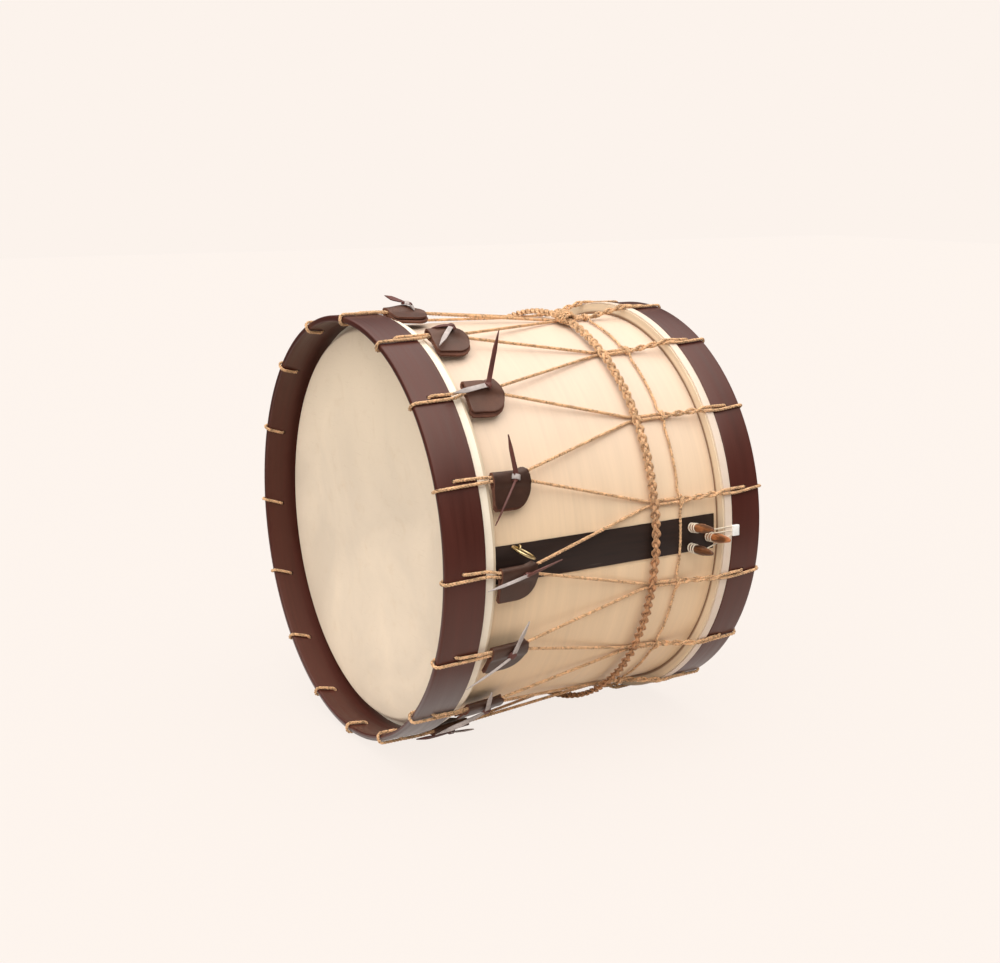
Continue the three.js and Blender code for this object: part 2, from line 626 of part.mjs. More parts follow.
function stripGeometry() {
  const inner = SHELL_RADIUS + SEAT_GAP;
  const half = STRIP_WIDTH / 2 / SHELL_RADIUS;
  const top = Math.PI / 2;
  const section = new THREE.Shape();
  section.absarc(0, 0, inner + STRIP_THICKNESS, top - half, top + half, false);
  section.absarc(0, 0, inner, top + half, top - half, true);
  const fleshWidth = FLESH_HOOP_WIDTH + SKIN_THICKNESS + 3 * SEAT_GAP;
  const front = BATTER_HOOP_BACK + fleshWidth;
  const back = SNARE_HOOP_FRONT - fleshWidth;
  const depth = back - front;
  const bar = new THREE.ExtrudeGeometry(section, { depth, bevelEnabled: false, curveSegments: 6 });
  // the section's height becomes the way out from the axis, and its depth runs along the drum
  bar.applyMatrix4(new THREE.Matrix4().makeBasis(
    new THREE.Vector3(0, 1, 0), new THREE.Vector3(0, 0, 1), new THREE.Vector3(1, 0, 0)));
  bar.translate(front, 0, 0).rotateX(STRIP_ANGLE);
  return cut(bar, stripHoles());
}

// Sling eye and ring, in a frame whose z stands out from the shell and whose x is the eye's bore
function eyeGeometry() {
  const loop = new THREE.TorusGeometry(EYE_RADIUS, EYE_WIRE / 2, 6, 12).rotateY(Math.PI / 2);
  loop.translate(0, 0, EYE_HEIGHT);
  const top = EYE_HEIGHT - EYE_RADIUS;
  const shank = new THREE.CylinderGeometry(EYE_WIRE / 2, EYE_WIRE / 2, EYE_SHANK, 8);
  shank.rotateX(Math.PI / 2).translate(0, 0, top - EYE_SHANK / 2);
  return join([loop, shank]);
}

function ringGeometry() {
  const ring = new THREE.TorusGeometry(RING_RADIUS, RING_WIRE / 2, 6, 20).rotateX(Math.PI / 2);
  return ring.translate(0, 0, RING_RADIUS);
}

// A peg is turned about z, and its tapering head is flattened. z is 0 where it leaves the shell's surface.
function pegGeometry() {
  const radius = PEG_DIAMETER / 2;
  const head = PEG_HEAD_WIDTH / 2;
  const tip = PEG_TIP_WIDTH / 2;
  const neck = PEG_OUT - PEG_HEAD_LENGTH;
  const profile = [
    [0, -PEG_IN],
    [radius - 0.6, -PEG_IN],
    [radius, 1 - PEG_IN],
    [radius, neck],
    [head - 0.1, neck + 0.2 * PEG_HEAD_LENGTH],
    [head, neck + 0.38 * PEG_HEAD_LENGTH],
    [head - 0.2 * (head - tip), neck + 0.6 * PEG_HEAD_LENGTH],
    [head - 0.6 * (head - tip), neck + 0.82 * PEG_HEAD_LENGTH],
    [tip, PEG_OUT - 0.8],
    [0, PEG_OUT],
  ].map(([r, along]) => new THREE.Vector2(r, along));
  const peg = new THREE.LatheGeometry(profile, PEG_SIDES).rotateX(Math.PI / 2);
  const place = peg.getAttribute('position');
  for (let i = 0; i < place.count; i++) {
    const part = THREE.MathUtils.smoothstep(place.getZ(i), neck, neck + PEG_HEAD_LENGTH / 2);
    place.setX(i, place.getX(i) * THREE.MathUtils.lerp(1, PEG_HEAD_FLAT, part));
  }
  return closed(peg);
}

// A point in a peg's frame: along the drum, round it and out along the peg from the shell's surface.
function pegPoint(peg, along, side, out) {
  const turned = new THREE.Vector3(along, -side, out);
  turned.applyAxisAngle(new THREE.Vector3(1, 0, 0), pegAngle(peg) - PEG_TILT);
  return turned.add(onDrum(peg.x, pegAngle(peg), SHELL_RADIUS));
}

const gutSide = (n) => [-1, 1, 0][n] * GUT_SPACING;

// Turns of gut round a peg, which it leaves on one side, straight towards the guide.
function windingPoints(n) {
  const peg = PEGS[n];
  const radius = PEG_DIAMETER / 2 + SEAT_GAP + GUT_RADIUS;
  const across = peg.side + peg.leaves * radius - GUIDE_SIDE - gutSide(n);
  const bend = Math.atan2(peg.leaves * across, SNARE_HOOP_FRONT - GUIDE_OVERHANG - peg.x);
  return Array.from({ length: GUT_TURNS * GUT_TURN_STEPS + 1 }, (_, i) => {
    const turns = i / GUT_TURN_STEPS - GUT_TURNS;
    const turn = peg.leaves * (Math.PI / 2 - bend - 2 * Math.PI * turns);
    const out = WINDING_START + GUT_PITCH * (turns + GUT_TURNS);
    return pegPoint(peg, radius * Math.cos(turn), radius * Math.sin(turn), out);
  });
}

const gutHoleAt = SNARE_FACE + SEAT_GAP + GUT_DIAMETER;

function gutHoles() {
  return [GUIDE_ANGLE, GUIDE_ANGLE + Math.PI].flatMap((angle) =>
    PEGS.map((_, n) => hoopHole(gutHoleAt, angle, gutSide(n), GUT_DIAMETER + 4 * SEAT_GAP)),
  );
}

// Snare guts: one is wound on the upper peg and runs over the guide, through the snare hoop, across
// the head, round the far side and back to the lower peg. The middle one ends there in a knot.
function gutRun(n) {
  const bend = GUT_DIAMETER;
  const onHoop = HOOP_RADIUS + 2 * SEAT_GAP + GUT_RADIUS;
  const onHead = SNARE_FACE + SEAT_GAP + GUT_RADIUS;
  const throughHoop = (angle, side) => [
    onDrum(gutHoleAt, angle, onHoop - bend / 2, side),
    onDrum(gutHoleAt, angle, HOOP_INSIDE + SEAT_GAP, side),
    onDrum(onHead, angle, HOOP_INSIDE - bend, side),
  ];
  return [
    ...windingPoints(n),
    onDrum(SNARE_HOOP_FRONT - GUIDE_OVERHANG, GUIDE_ANGLE, onHoop, gutSide(n)),
    onDrum(gutHoleAt - bend, GUIDE_ANGLE, onHoop, gutSide(n)),
    ...throughHoop(GUIDE_ANGLE, gutSide(n)),
    ...throughHoop(GUIDE_ANGLE + Math.PI, -gutSide(n)).reverse(),
  ];
}

function gutGeometry() {
  const overKnot = HOOP_RADIUS + 3 * SEAT_GAP + GUT_KNOT + GUT_RADIUS;
  const turn = (n) => onDrum(gutHoleAt, GUIDE_ANGLE + Math.PI, overKnot, -0.8 * gutSide(n));
  const points = [...gutRun(0), turn(0), ...[...gutRun(1), turn(1)].reverse()];
  console.log('snare gut: least gap to itself ' + leastGap(points, GUT_DIAMETER).toFixed(2) + ' mm');
  return tube(points, points.map(() => GUT_RADIUS), 5);
}

function middleGutGeometry() {
  const knot = GUT_KNOT / 2;
  const end = [
    [SEAT_GAP, GUT_RADIUS],
    [SEAT_GAP + 0.3 * knot, knot],
    [SEAT_GAP + 1.4 * knot, knot],
    [SEAT_GAP + GUT_KNOT, GUT_RADIUS / 2],
  ];
  const run = gutRun(2);
  run.pop();
  const points = [...run, ...end.map(([out]) =>
    onDrum(gutHoleAt, GUIDE_ANGLE + Math.PI, HOOP_RADIUS + out))];
  return tube(points, [...run.map(() => GUT_RADIUS), ...end.map(([, radius]) => radius)], 5);
}

// The least gap between parts of a tube that lie further apart along it than half a turn of it.
function leastGap(points, diameter) {
  const line = new THREE.CurvePath();
  points.slice(1).forEach((point, i) => line.add(new THREE.LineCurve3(points[i], point)));
  const step = diameter / 3;
  const places = line.getSpacedPoints(Math.ceil(line.getLength() / step));
  const skip = Math.ceil((Math.PI * 2 * diameter) / step);
  let least = Infinity;
  places.forEach((place, i) => {
    for (let j = i + skip; j < places.length; j++) least = Math.min(least, place.distanceTo(places[j]));
  });
  return least - diameter;
}

// The guide is a block on the snare hoop with a slot over each run of gut.
function guideGeometry() {
  const seat = HOOP_RADIUS + SEAT_GAP;
  const start = SNARE_HOOP_FRONT - GUIDE_OVERHANG;
  const block = new THREE.BoxGeometry(GUIDE_LENGTH, GUIDE_WIDTH, GUIDE_HEIGHT);
  block.translate(start + GUIDE_LENGTH / 2, 0, seat + GUIDE_HEIGHT / 2);
  const slots = PEGS.map((_, n) => {
    const slot = new THREE.BoxGeometry(4 * GUIDE_LENGTH, GUIDE_SLOT, 2 * GUIDE_SLOT_DEPTH);
    return slot.translate(start, -gutSide(n), seat);
  });
  return cut(block, slots).rotateX(GUIDE_ANGLE);
}

// Materials
const finish = (color, roughness, metalness = 0) => () =>
  new THREE.MeshStandardMaterial({ color, roughness, metalness });
const paleWood = finish(0xe8cfa4, 0.55);
const darkStrip = finish(0x33231f, 0.5);
const stainedWood = finish(0x4a2420, 0.35);
const hoopWood = finish(0xe2bd84, 0.6);
const skin = finish(0xf0e0c4, 0.65);
const jute = finish(0xb98d5a, 0.9);
const leather = finish(0x4a3530, 0.6);
const thong = finish(0x5a3a32, 0.7);
const brass = finish(0xb08d3c, 0.3, 1);
const pegWood = finish(0x9a5526, 0.4);
const gut = finish(0xf1e8d8, 0.5);
const bone = finish(0xf4f1ea, 0.4);

const drum = new THREE.Group();

function place(name, geometry, material, parent = drum) {
  const mesh = new THREE.Mesh(geometry, material());
  mesh.name = name;
  parent.add(mesh);
  return mesh;
}

place('shell', shellGeometry(), paleWood);
place('seam_strip', stripGeometry(), darkStrip);
place('batter_head', headGeometry(0, BATTER_HOOP_BACK, 1), skin);
place('snare_head', headGeometry(SNARE_FACE, SNARE_HOOP_FRONT, -1), skin);
place('batter_flesh_hoop', fleshHoopGeometry(BATTER_HOOP_BACK, 1), hoopWood);
place('snare_flesh_hoop', fleshHoopGeometry(SNARE_HOOP_FRONT, -1), hoopWood);
const batterHoles = ropeHoles(BATTER_RIM + HOLE_INSET, 0);
const snareHoles = [...ropeHoles(SNARE_RIM - HOLE_INSET, 0.5), ...gutHoles()];
place('batter_counterhoop', counterhoopGeometry(BATTER_RIM, BATTER_HOOP_BACK, batterHoles), stainedWood);
place('snare_counterhoop', counterhoopGeometry(SNARE_HOOP_FRONT, SNARE_RIM, snareHoles), stainedWood);
const rope = lacingRopeGeometries();
const ropeNames = ['lacing_rope', 'lacing_rope_under', 'lacing_rope_end'];
ropeNames.forEach((name, n) => place(name, rope.runs[n], jute));
FLOOR_LOOPS.forEach((k, n) => place('snare_loop_' + String(k + 1).padStart(2, '0'), rope.loops[n], jute));
place('braided_belt', beltGeometry(), jute);
place('binding_cord', bindingGeometry(), jute);

// Tugs and laces, each pair in a group turned to its station
const tug = tugGeometry();
for (let k = 0; k < STATIONS; k++) {
  const station = new THREE.Group();
  station.rotation.x = frontAngle(k);
  const seat = new THREE.Group();
  seat.position.set(TUG_MIDDLE, 0, ropeRadiusAt(TUG_MIDDLE));
  seat.rotation.y = Math.atan(ROPE_SLOPE);
  station.add(seat);
  drum.add(station);
  const number = String(k + 1).padStart(2, '0');
  place('tug_' + number, tug, leather, seat);
  place('lace_' + number, laceGeometry(LACE_TIPS[k % LACE_TIPS.length]), thong, seat);
}

// Sling eye and ring
const sling = new THREE.Group();
sling.rotation.x = STRIP_ANGLE + EYE_SIDE / SHELL_RADIUS;
const eyeSeat = new THREE.Group();
eyeSeat.position.set(EYE_PLACE, 0, SHELL_RADIUS);
eyeSeat.rotation.z = EYE_TURN;
sling.add(eyeSeat);
drum.add(sling);
place('sling_eye', eyeGeometry(), brass, eyeSeat);
place('sling_ring', ringGeometry(), brass, eyeSeat).position.z = EYE_HEIGHT;

// Snare pegs, guts and guide
for (const peg of PEGS) {
  const station = new THREE.Group();
  station.rotation.x = pegAngle(peg);
  const seat = new THREE.Group();
  seat.position.set(peg.x, 0, SHELL_RADIUS);
  seat.rotation.x = -PEG_TILT;
  station.add(seat);
  drum.add(station);
  place(peg.name, pegGeometry(), pegWood, seat);
}
place('snare_gut', gutGeometry(), gut);
place('snare_gut_middle', middleGutGeometry(), gut);
place('snare_guide', guideGeometry(), bone);

export default drum;
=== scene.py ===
"""Dresses a rope-tensioned renaissance drum: skins, hoops, jute lacing, leather tugs and a gut snare."""

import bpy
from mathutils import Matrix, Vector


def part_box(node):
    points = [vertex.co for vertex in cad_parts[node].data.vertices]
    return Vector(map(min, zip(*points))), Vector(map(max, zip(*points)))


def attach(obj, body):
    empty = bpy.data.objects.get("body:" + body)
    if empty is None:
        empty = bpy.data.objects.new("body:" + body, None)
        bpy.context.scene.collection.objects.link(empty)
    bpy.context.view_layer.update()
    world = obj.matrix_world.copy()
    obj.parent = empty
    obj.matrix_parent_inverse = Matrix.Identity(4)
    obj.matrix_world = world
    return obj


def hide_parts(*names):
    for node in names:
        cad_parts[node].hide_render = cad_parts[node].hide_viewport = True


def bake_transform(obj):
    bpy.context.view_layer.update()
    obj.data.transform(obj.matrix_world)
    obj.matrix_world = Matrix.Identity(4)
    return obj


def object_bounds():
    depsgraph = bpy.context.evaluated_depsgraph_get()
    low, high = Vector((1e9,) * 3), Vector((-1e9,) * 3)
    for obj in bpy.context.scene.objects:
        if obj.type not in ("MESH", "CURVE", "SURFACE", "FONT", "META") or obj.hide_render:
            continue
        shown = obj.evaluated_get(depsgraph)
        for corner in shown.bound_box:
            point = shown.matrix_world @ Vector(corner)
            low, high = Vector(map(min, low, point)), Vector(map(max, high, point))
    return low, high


bl_info = {
    "name": "Renaissance Rope Drum",
    "version": (1, 0, 0),
    "blender": (4, 5, 0),
    "location": "View3D > Sidebar > Drum",
    "description": "Builds the looks of a rope-tensioned drum on its packed frame",
    "category": "Add Mesh",
}

import math
import random

import bmesh
import bpy
from bpy.props import FloatProperty, FloatVectorProperty, PointerProperty
from mathutils import Matrix, Vector, noise

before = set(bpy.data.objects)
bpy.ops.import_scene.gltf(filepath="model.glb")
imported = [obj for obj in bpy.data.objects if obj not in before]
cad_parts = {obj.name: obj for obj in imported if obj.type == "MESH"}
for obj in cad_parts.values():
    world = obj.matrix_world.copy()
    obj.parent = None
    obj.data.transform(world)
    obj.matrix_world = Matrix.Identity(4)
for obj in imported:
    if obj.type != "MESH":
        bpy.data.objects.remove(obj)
CAD_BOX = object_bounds()

MM = 0.001
TURN = 2 * math.pi


def reach(node, front=0.0, back=0.0):
    """Where a node begins and ends along the drum, with the shifts that bring the looks to the photo."""
    low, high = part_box(node)
    return low.x + front, high.x + back


def middle_of(node, shift=0.0):
    return sum(reach(node)) / 2 + shift


# Places along the drum, from the frame
BATTER_RIM, BATTER_HOOP_BACK = reach("batter_counterhoop", back=1.2 * MM)
SNARE_HOOP_FRONT, SNARE_RIM = reach("snare_counterhoop")
BATTER_FACE, BATTER_LIP = reach("batter_head")
SNARE_LIP, SNARE_FACE = reach("snare_head", front=1.2 * MM)
BATTER_FLESH = reach("batter_flesh_hoop", front=1.2 * MM)
SNARE_FLESH = reach("snare_flesh_hoop", front=3.2 * MM)
SHELL_FRONT, SHELL_BACK = reach("shell")
STRIP_FRONT, STRIP_BACK = reach("seam_strip")
BELT_PLACE = middle_of("braided_belt", -1.5 * MM)
BINDING_PLACE = middle_of("binding_cord", -3.5 * MM)
EYE_PLACE = middle_of("sling_eye")
PIVOT_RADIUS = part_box("shell")[1].z

# Stations of the lacing, as angles from the top towards the pegs' side
STATIONS = 16
PITCH = TURN / STATIONS
PHASE = math.radians(0.4)
SEAM_ANGLE = math.radians(90.4)
STRIP_SIDES = (-1.8 * MM, -3.6 * MM)
ROPE_ENDS_STATION = 11

# Fixed places and rooms of the lacing, the tugs and the skins
HOLE_INSET = 16.5 * MM
PAIR_SPACING = 4.3 * MM
VEE_START = 50 * MM
TUG_FRONT = 23 * MM
LOOP_END = 15 * MM
BEARING_DEPTH = 4 * MM
BATTER_COLLAR, SNARE_COLLAR = 187.4 * MM, 189.8 * MM
TUG_PAIR = 3.4 * MM
TUG_LEADS = {0: 5 * MM, 2: -0.5 * MM}
TUG_RISES = {0: 2.5 * MM, 1: 2.5 * MM, 2: 4 * MM}
TUG_HUMPS = {0: 3.5 * MM, 1: 4.5 * MM, 2: 2 * MM}
TUG_CORNER, HUMPED_CORNER = 6 * MM, 11 * MM
PAIR_LIFT = 1.6 * MM
SKIN = 1 * MM
SEAT = 0.3 * MM
CLOSE_FIT = 0.1 * MM
MERGE = 1e-6
RING_STEPS = 192

# How far the hand-set lacing has slipped round the drum, in degrees at some of the stations
BELT_SLIPS = {15: -1.5, 0: -3, 1: -3, 2: -1.6, 4: 0.9, 5: 1.2, 6: 3, 7: 2}
SNARE_SLIPS = {15: -1, 0: -2.3, 1: -2.3, 2: -1, 3: -0.7}
TUG_SLIPS = {1: -0.9, 2: -1.3, 4: 0.9, 8: -1.1, 9: -1.4, 10: -1.7, 11: -2.2, 12: -2.4}
TUG_SLIPS.update({13: -2, 14: -1.2, 15: -0.3})
BATTER_SLIPS = {8: -1.8, 9: -2.3, 10: -2.9, 11: -3.7, 12: -4, 13: -3.3, 14: -2, 15: -0.5}

# The free ends of each lace, in mm from the tug's middle: along the rope, round the drum and outwards
LACE_TIPS = (
    ((-18.5, -2, 14), (7, 9, 3)),
    ((-21.5, 29, 4), (-13.5, -3, 4)),
    ((12.5, -31, 36), (-36.5, 12, 8)),
    ((-3.5, -33, 14), (-25, 38, 3)),
    ((38.5, -7, 8), (-33.5, 10, 5)),
    ((7.5, -33, 7), (-37.5, 31, 3)),
    ((-12.5, -40, 6), (-37.5, 34, 3)),
    ((4, -36, 6), (-27.5, 18, 4)),
    ((-27.5, 14, 5), (28.5, 13, 5)),
    ((-19.5, 13, 4), (15.5, 15, 4)),
)

# Where the knots lie, how far some of them stand from there, and how wide some tails are
LACE_PLACE = (1.5 * MM, -3.4 * MM)
LACE_SHIFTS = {3: (1.5 * MM, 2.6 * MM), 4: (4 * MM, 1 * MM)}
LACE_WIDTHS = {3: (1, 0.4), 4: (0.6, 0.6), 5: (1, 0.45)}

# How far each end turns about its own length, in radians, where it isn't left to chance
LACE_TWISTS = {
    0: (-1.3, 0.2),
    1: (0.2, 0.1),
    2: (0.5, -0.2),
    3: (0.4, 1.5),
    4: (1, 0.8),
    5: (0.3, 1.4),
    6: (0.2, 1.3),
    7: (0.2, 0.9),
}

# The side of each lace that shows on its two ends and its knot: the brown grain side or the grey flesh side
GRAIN, FLESH = 0, 1
LACE_SIDES = (
    (GRAIN, FLESH, FLESH),
    (FLESH, GRAIN, GRAIN),
    (GRAIN, FLESH, GRAIN),
    (GRAIN, GRAIN, FLESH),
    (GRAIN, FLESH, GRAIN),
    (FLESH, FLESH, GRAIN),
    (FLESH, FLESH, GRAIN),
    (FLESH, GRAIN, GRAIN),
    (FLESH, GRAIN, FLESH),
    (GRAIN, FLESH, GRAIN),
)

# The snare pegs: name, offset round the shell from the seam, and the side that the gut leaves on
PEGS = (("upper", -8.85 * MM, 1), ("lower", 8.85 * MM, 1), ("middle", 1 * MM, -1))

# Tones that a finish takes in some places, some of them painted light or shade, and the heights, radii or
# stretches that they fade over
# Painted light: the shell whiter towards the top
SHELL_TOP_LIGHT = (0.75, 0.572, 0.43)
SHELL_TOP_LIGHT_HEIGHTS = (0.0, 0.14)
# Painted reflection of the pale floor: the batter hoop greyer low on its outside
HOOP_FLOOR_REFLECTION = (0.13, 0.112, 0.112)
HOOP_FLOOR_REFLECTION_HEIGHTS = (-0.125, -0.085)
HOOP_FLOOR_REFLECTION_RADII = (0.1885, 0.1895)
HOOP_FLOOR_REFLECTION_ALONG = (0.05, 0.15)
# Painted shade where the flesh hoops meet the shell: darker at their inner radius
FLESH_GAP_SHADE = (0.16, 0.06, 0.02)
FLESH_GAP_SHADE_RADII = (0.1818, 0.1818 + 1.6 * MM)
# Painted light: the skins paler towards the top
SKIN_TOP_LIGHT = (1, 0.82, 0.6)
SKIN_TOP_LIGHT_HEIGHTS = (0.02, 0.15)
SKIN_LIPS = ((0.95, 0.85, 0.69), (0.7, 0.56, 0.47))
SKIN_LIPS_ALONG = (0.1, 0.2)
SKIN_LIP_RADII = (0.182, 0.186)
SKIN_FLECKS = (0.62, 0.42, 0.22)
SKIN_HAIRS = (0.55, 0.4, 0.25)
BELT_SHADE = (0.76, 0.63, 0.56)
BELT_SHADE_HEIGHTS = (-0.02, 0.08)
VENEER_SCRATCHES = (0.12, 0.09, 0.075)
BONE_PORES = (0.6, 0.52, 0.4)


def srgb(code):
    """A colour written as six hex digits, in Blender's linear values."""
    parts = (int(code[i : i + 2], 16) / 255 for i in (0, 2, 4))
    return tuple(p / 12.92 if p <= 0.04045 else ((p + 0.055) / 1.055) ** 2.4 for p in parts)


def length(name, description, millimetres):
    return FloatProperty(name=name, description=description, default=millimetres * MM, unit="LENGTH")


def colour(name, description, code):
    return FloatVectorProperty(
        name=name, description=description, subtype="COLOR", size=3, min=0, max=1, default=srgb(code)
    )


class DrumSizes(bpy.types.PropertyGroup):
    """Sizes that a maker would change."""

    batter_hoop: length("Batter hoop", "Outside of the counterhoop on the batter head", 384)
    hoop_diameter: length("Snare hoop", "Outside of the counterhoop on the snare head", 380)
    hoop_thickness: length("Hoop thickness", "Wall of the counterhoops", 5.6)
    shell_diameter: length("Shell diameter", "Outside of the shell", 360)
    shell_thickness: length("Shell thickness", "Wall of the shell", 6)
    rope: length("Rope", "Diameter of the lacing rope", 3)
    rope_lay: length("Rope lay", "Length of one turn of the rope's strands", 9)
    belt_width: length("Belt width", "Width of the plaited belt along the drum", 8.2)
    belt_thickness: length("Belt thickness", "Height of the plaited belt", 5)
    binding: length("Binding cord", "Diameter of the binding cord", 2.4)
    leather: length("Leather", "Thickness of the tugs", 1.9)
    tug_length: length("Tug length", "Length of a tug along the ropes", 36)
    tug_leaf: length("Tug leaf", "From the ropes to a tug's lower edge", 24)
    lace_width: length("Lace width", "Width of the lace thongs", 4.3)
    strip_width: length("Strip width", "Width of the dark strip over the seam", 31.5)
    gut: length("Gut", "Diameter of the snare gut", 1.2)
    peg_out: length("Peg", "How far the pegs stand out of the shell", 37.5)


class DrumColours(bpy.types.PropertyGroup):
    """Colours of the finishes."""

    shell: colour("Shell", "Pale oiled wood", "EBCCA6")
    flesh_wood: colour("Flesh hoop", "Bare bent wood", "E0CAAC")
    stain: colour("Hoop stain", "Red-brown stain of the counterhoops", "471E17")
    skin: colour("Skin", "Goatskin of the heads", "EBD8BF")
    jute: colour("Jute", "Rope, belt and binding cord", "C29B74")
    leather: colour("Leather", "Grain side of the tugs", "452B21")
    leather_edge: colour("Leather edge", "Cut edge and flesh side of the tugs", "6B4638")
    thong: colour("Thong", "Grain side of the laces", "5E342C")
    thong_flesh: colour("Thong flesh side", "Flesh side of the laces", "B8ACA6")
    strip: colour("Seam strip", "Dark strip over the seam", "281A14")
    brass: colour("Brass", "Sling eye and ring", "E2CB98")
    peg: colour("Peg", "Orange-brown turned wood", "8A5430")
    gut: colour("Gut", "Snare gut", "E2D3BC")
    bone: colour("Bone", "Block that guides the gut", "F6F3EE")
    backdrop: colour("Backdrop", "Floor and background", "FCF3EC")


def on_drum(x, angle, radius, side=0.0):
    """A point along the drum, round it and out from its axis, with an offset round the drum."""
    turned = angle + (side / radius if side else 0)
    return Vector((x, -radius * math.sin(turned), radius * math.cos(turned)))


def station_angle(station):
    return PHASE + station * PITCH


def slip(station, slips):
    """How far the lacing has slipped at a station, which changes evenly between the stations."""
    low = math.floor(station)
    part = station - low
    here, beyond = (slips.get((low + n) % STATIONS, 0) for n in (0, 1))
    return math.radians(here + (beyond - here) * part)


def rear_angle(k, slips):
    """Where the pair between two tugs lies, at the belt or at the snare hoop."""
    return station_angle(k + 0.5) + slip(k, slips)


def tug_angle(k):
    return station_angle(k) + slip(k, TUG_SLIPS)


def rope_lines(sizes):
    """Radii of the rope pair on the shell, the batter hoop and the snare hoop."""
    carriers = (sizes.shell_diameter, sizes.batter_hoop, sizes.hoop_diameter)
    return [diameter / 2 + SEAT + sizes.rope / 2 for diameter in carriers]


def belt_entry(sizes):
    return BELT_PLACE - sizes.belt_width / 2 - sizes.rope / 2


def rope_slope(sizes):
    """How much a rope pair comes in for each unit along the drum, from the batter hoop to the belt."""
    on_shell, on_hoop, _ = rope_lines(sizes)
    return (on_hoop - on_shell) / (belt_entry(sizes) - BATTER_HOOP_BACK - sizes.rope / 2)


def rope_radius_at(sizes, x):
    return rope_lines(sizes)[1] - rope_slope(sizes) * (x - BATTER_HOOP_BACK - sizes.rope / 2)


def fillet(points, reach, count=4, closed=False):
    """Rounds each corner of a line with a short curve that starts and ends reach away from it."""
    line = []
    for i, corner in enumerate(points):
        if not closed and i in (0, len(points) - 1):
            line.append(corner)
            continue
        before, after = points[i - 1] - corner, points[(i + 1) % len(points)] - corner
        first = corner + before.normalized() * min(reach, 0.49 * before.length)
        last = corner + after.normalized() * min(reach, 0.49 * after.length)
        for n in range(count + 1):
            part = n / count
            line.append(first.lerp(corner, part).lerp(corner.lerp(last, part), part))
    return line


def even(points, step):
    """The same line with points an even step apart."""
    line = [points[0]]
    left = step
    for start, end in zip(points, points[1:]):
        span = (end - start).length
        while left <= span:
            line.append(start.lerp(end, left / span))
            left += step
        left -= span
    if (line[-1] - points[-1]).length > 0.3 * step:
        line.append(points[-1])
    return line


def plies(line, count, radius, lay, phase=0.0):
    """Strands that wind round a line, as lists of points."""
    strands = [[] for _ in range(count)]
    normal = Vector((line[1] - line[0]).orthogonal().normalized())
    travelled = 0.0
    for i, point in enumerate(line):
        ahead = line[min(i + 1, len(line) - 1)] - line[max(i - 1, 0)]
        along = ahead.normalized()
        normal = (normal - along * normal.dot(along)).normalized()
        across = along.cross(normal)
        if i:
            travelled += (point - line[i - 1]).length
        for n, strand in enumerate(strands):
            turn = phase + TURN * (travelled / lay + n / count)
            strand.append(point + radius * (math.cos(turn) * normal + math.sin(turn) * across))
    return strands


def tubes(name, lines, radius, closed=False, sides=6):
    """One mesh of round tubes along lines of points, with capped ends."""
    curve = bpy.data.curves.new(name, "CURVE")
    curve.dimensions = "3D"
    curve.bevel_depth = radius
    curve.bevel_resolution = (sides - 4) // 2
    curve.use_fill_caps = True
    for line in lines:
        spline = curve.splines.new("POLY")
        spline.points.add(len(line) - 1)
        spline.points.foreach_set("co", [value for point in line for value in (*point, 1)])
        spline.use_cyclic_u = closed
    holder = bpy.data.objects.new(name, curve)
    bpy.context.scene.collection.objects.link(holder)
    depsgraph = bpy.context.evaluated_depsgraph_get()
    mesh = bpy.data.meshes.new_from_object(holder.evaluated_get(depsgraph))
    bpy.data.objects.remove(holder)
    bpy.data.curves.remove(curve)
    return mesh


def rope_sizes(diameter, count=3):
    """Radius of a ply, and of the circle that the plies' middles lie on, for a rope of this diameter."""
    ply = diameter / 2 / (1 + 1 / math.sin(math.pi / count))
    return 1.04 * ply, diameter / 2 - ply


def turned_ring(profile, start=0.0, closed=True, steps=RING_STEPS):
    """A ring or disc, spun about the drum's axis from points of place and radius."""
    mesh = bmesh.new()
    verts = [mesh.verts.new(on_drum(x, start, radius)) for x, radius in profile]
    pairs = list(zip(verts, verts[1:])) + ([(verts[-1], verts[0])] if closed else [])
    edges = [mesh.edges.new(pair) for pair in pairs]
    bmesh.ops.spin(
        mesh, geom=verts + edges, cent=(0, 0, 0), axis=(1, 0, 0), angle=TURN, steps=steps, use_merge=True
    )
    bmesh.ops.remove_doubles(mesh, verts=mesh.verts, dist=MERGE)
    bmesh.ops.recalc_face_normals(mesh, faces=mesh.faces)
    return mesh


def rounded_section(low, high, inside, outside, edge, extra=()):
    """A ring's section with rounded corners, and extra places where its walls are divided."""
    corners = [Vector((low, inside, 0)), Vector((low, outside, 0))]
    corners += [Vector((x, outside, 0)) for x in sorted(extra)]
    corners += [Vector((high, outside, 0)), Vector((high, inside, 0))]
    corners += [Vector((x, inside, 0)) for x in sorted(extra, reverse=True)]
    section = []
    for i, corner in enumerate(corners):
        if corner.x in (low, high):
            trio = [corners[i - 1], corner, corners[(i + 1) % len(corners)]]
            section += fillet(trio, edge, 4)[1:-1]
        else:
            section.append(corner)
    return [(point.x, point.y) for point in section]


def piece(name, mesh, finishes, body=None, nodes=(), sharp=None):
    """Links a finished mesh at the origin, on its body and in place of its CAD nodes."""
    if isinstance(mesh, bmesh.types.BMesh):
        data = bpy.data.meshes.new(name)
        mesh.to_mesh(data)
        mesh.free()
    else:
        data = mesh
        data.name = name
        data.materials.clear()
    for finish in finishes:
        data.materials.append(finish)
    data.shade_smooth()
    if sharp:
        data.set_sharp_from_angle(angle=math.radians(sharp))
    obj = bpy.data.objects.new(name, data)
    bpy.context.scene.collection.objects.link(obj)
    if nodes:
        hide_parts(*nodes)
    if body:
        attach(obj, body)
    return obj


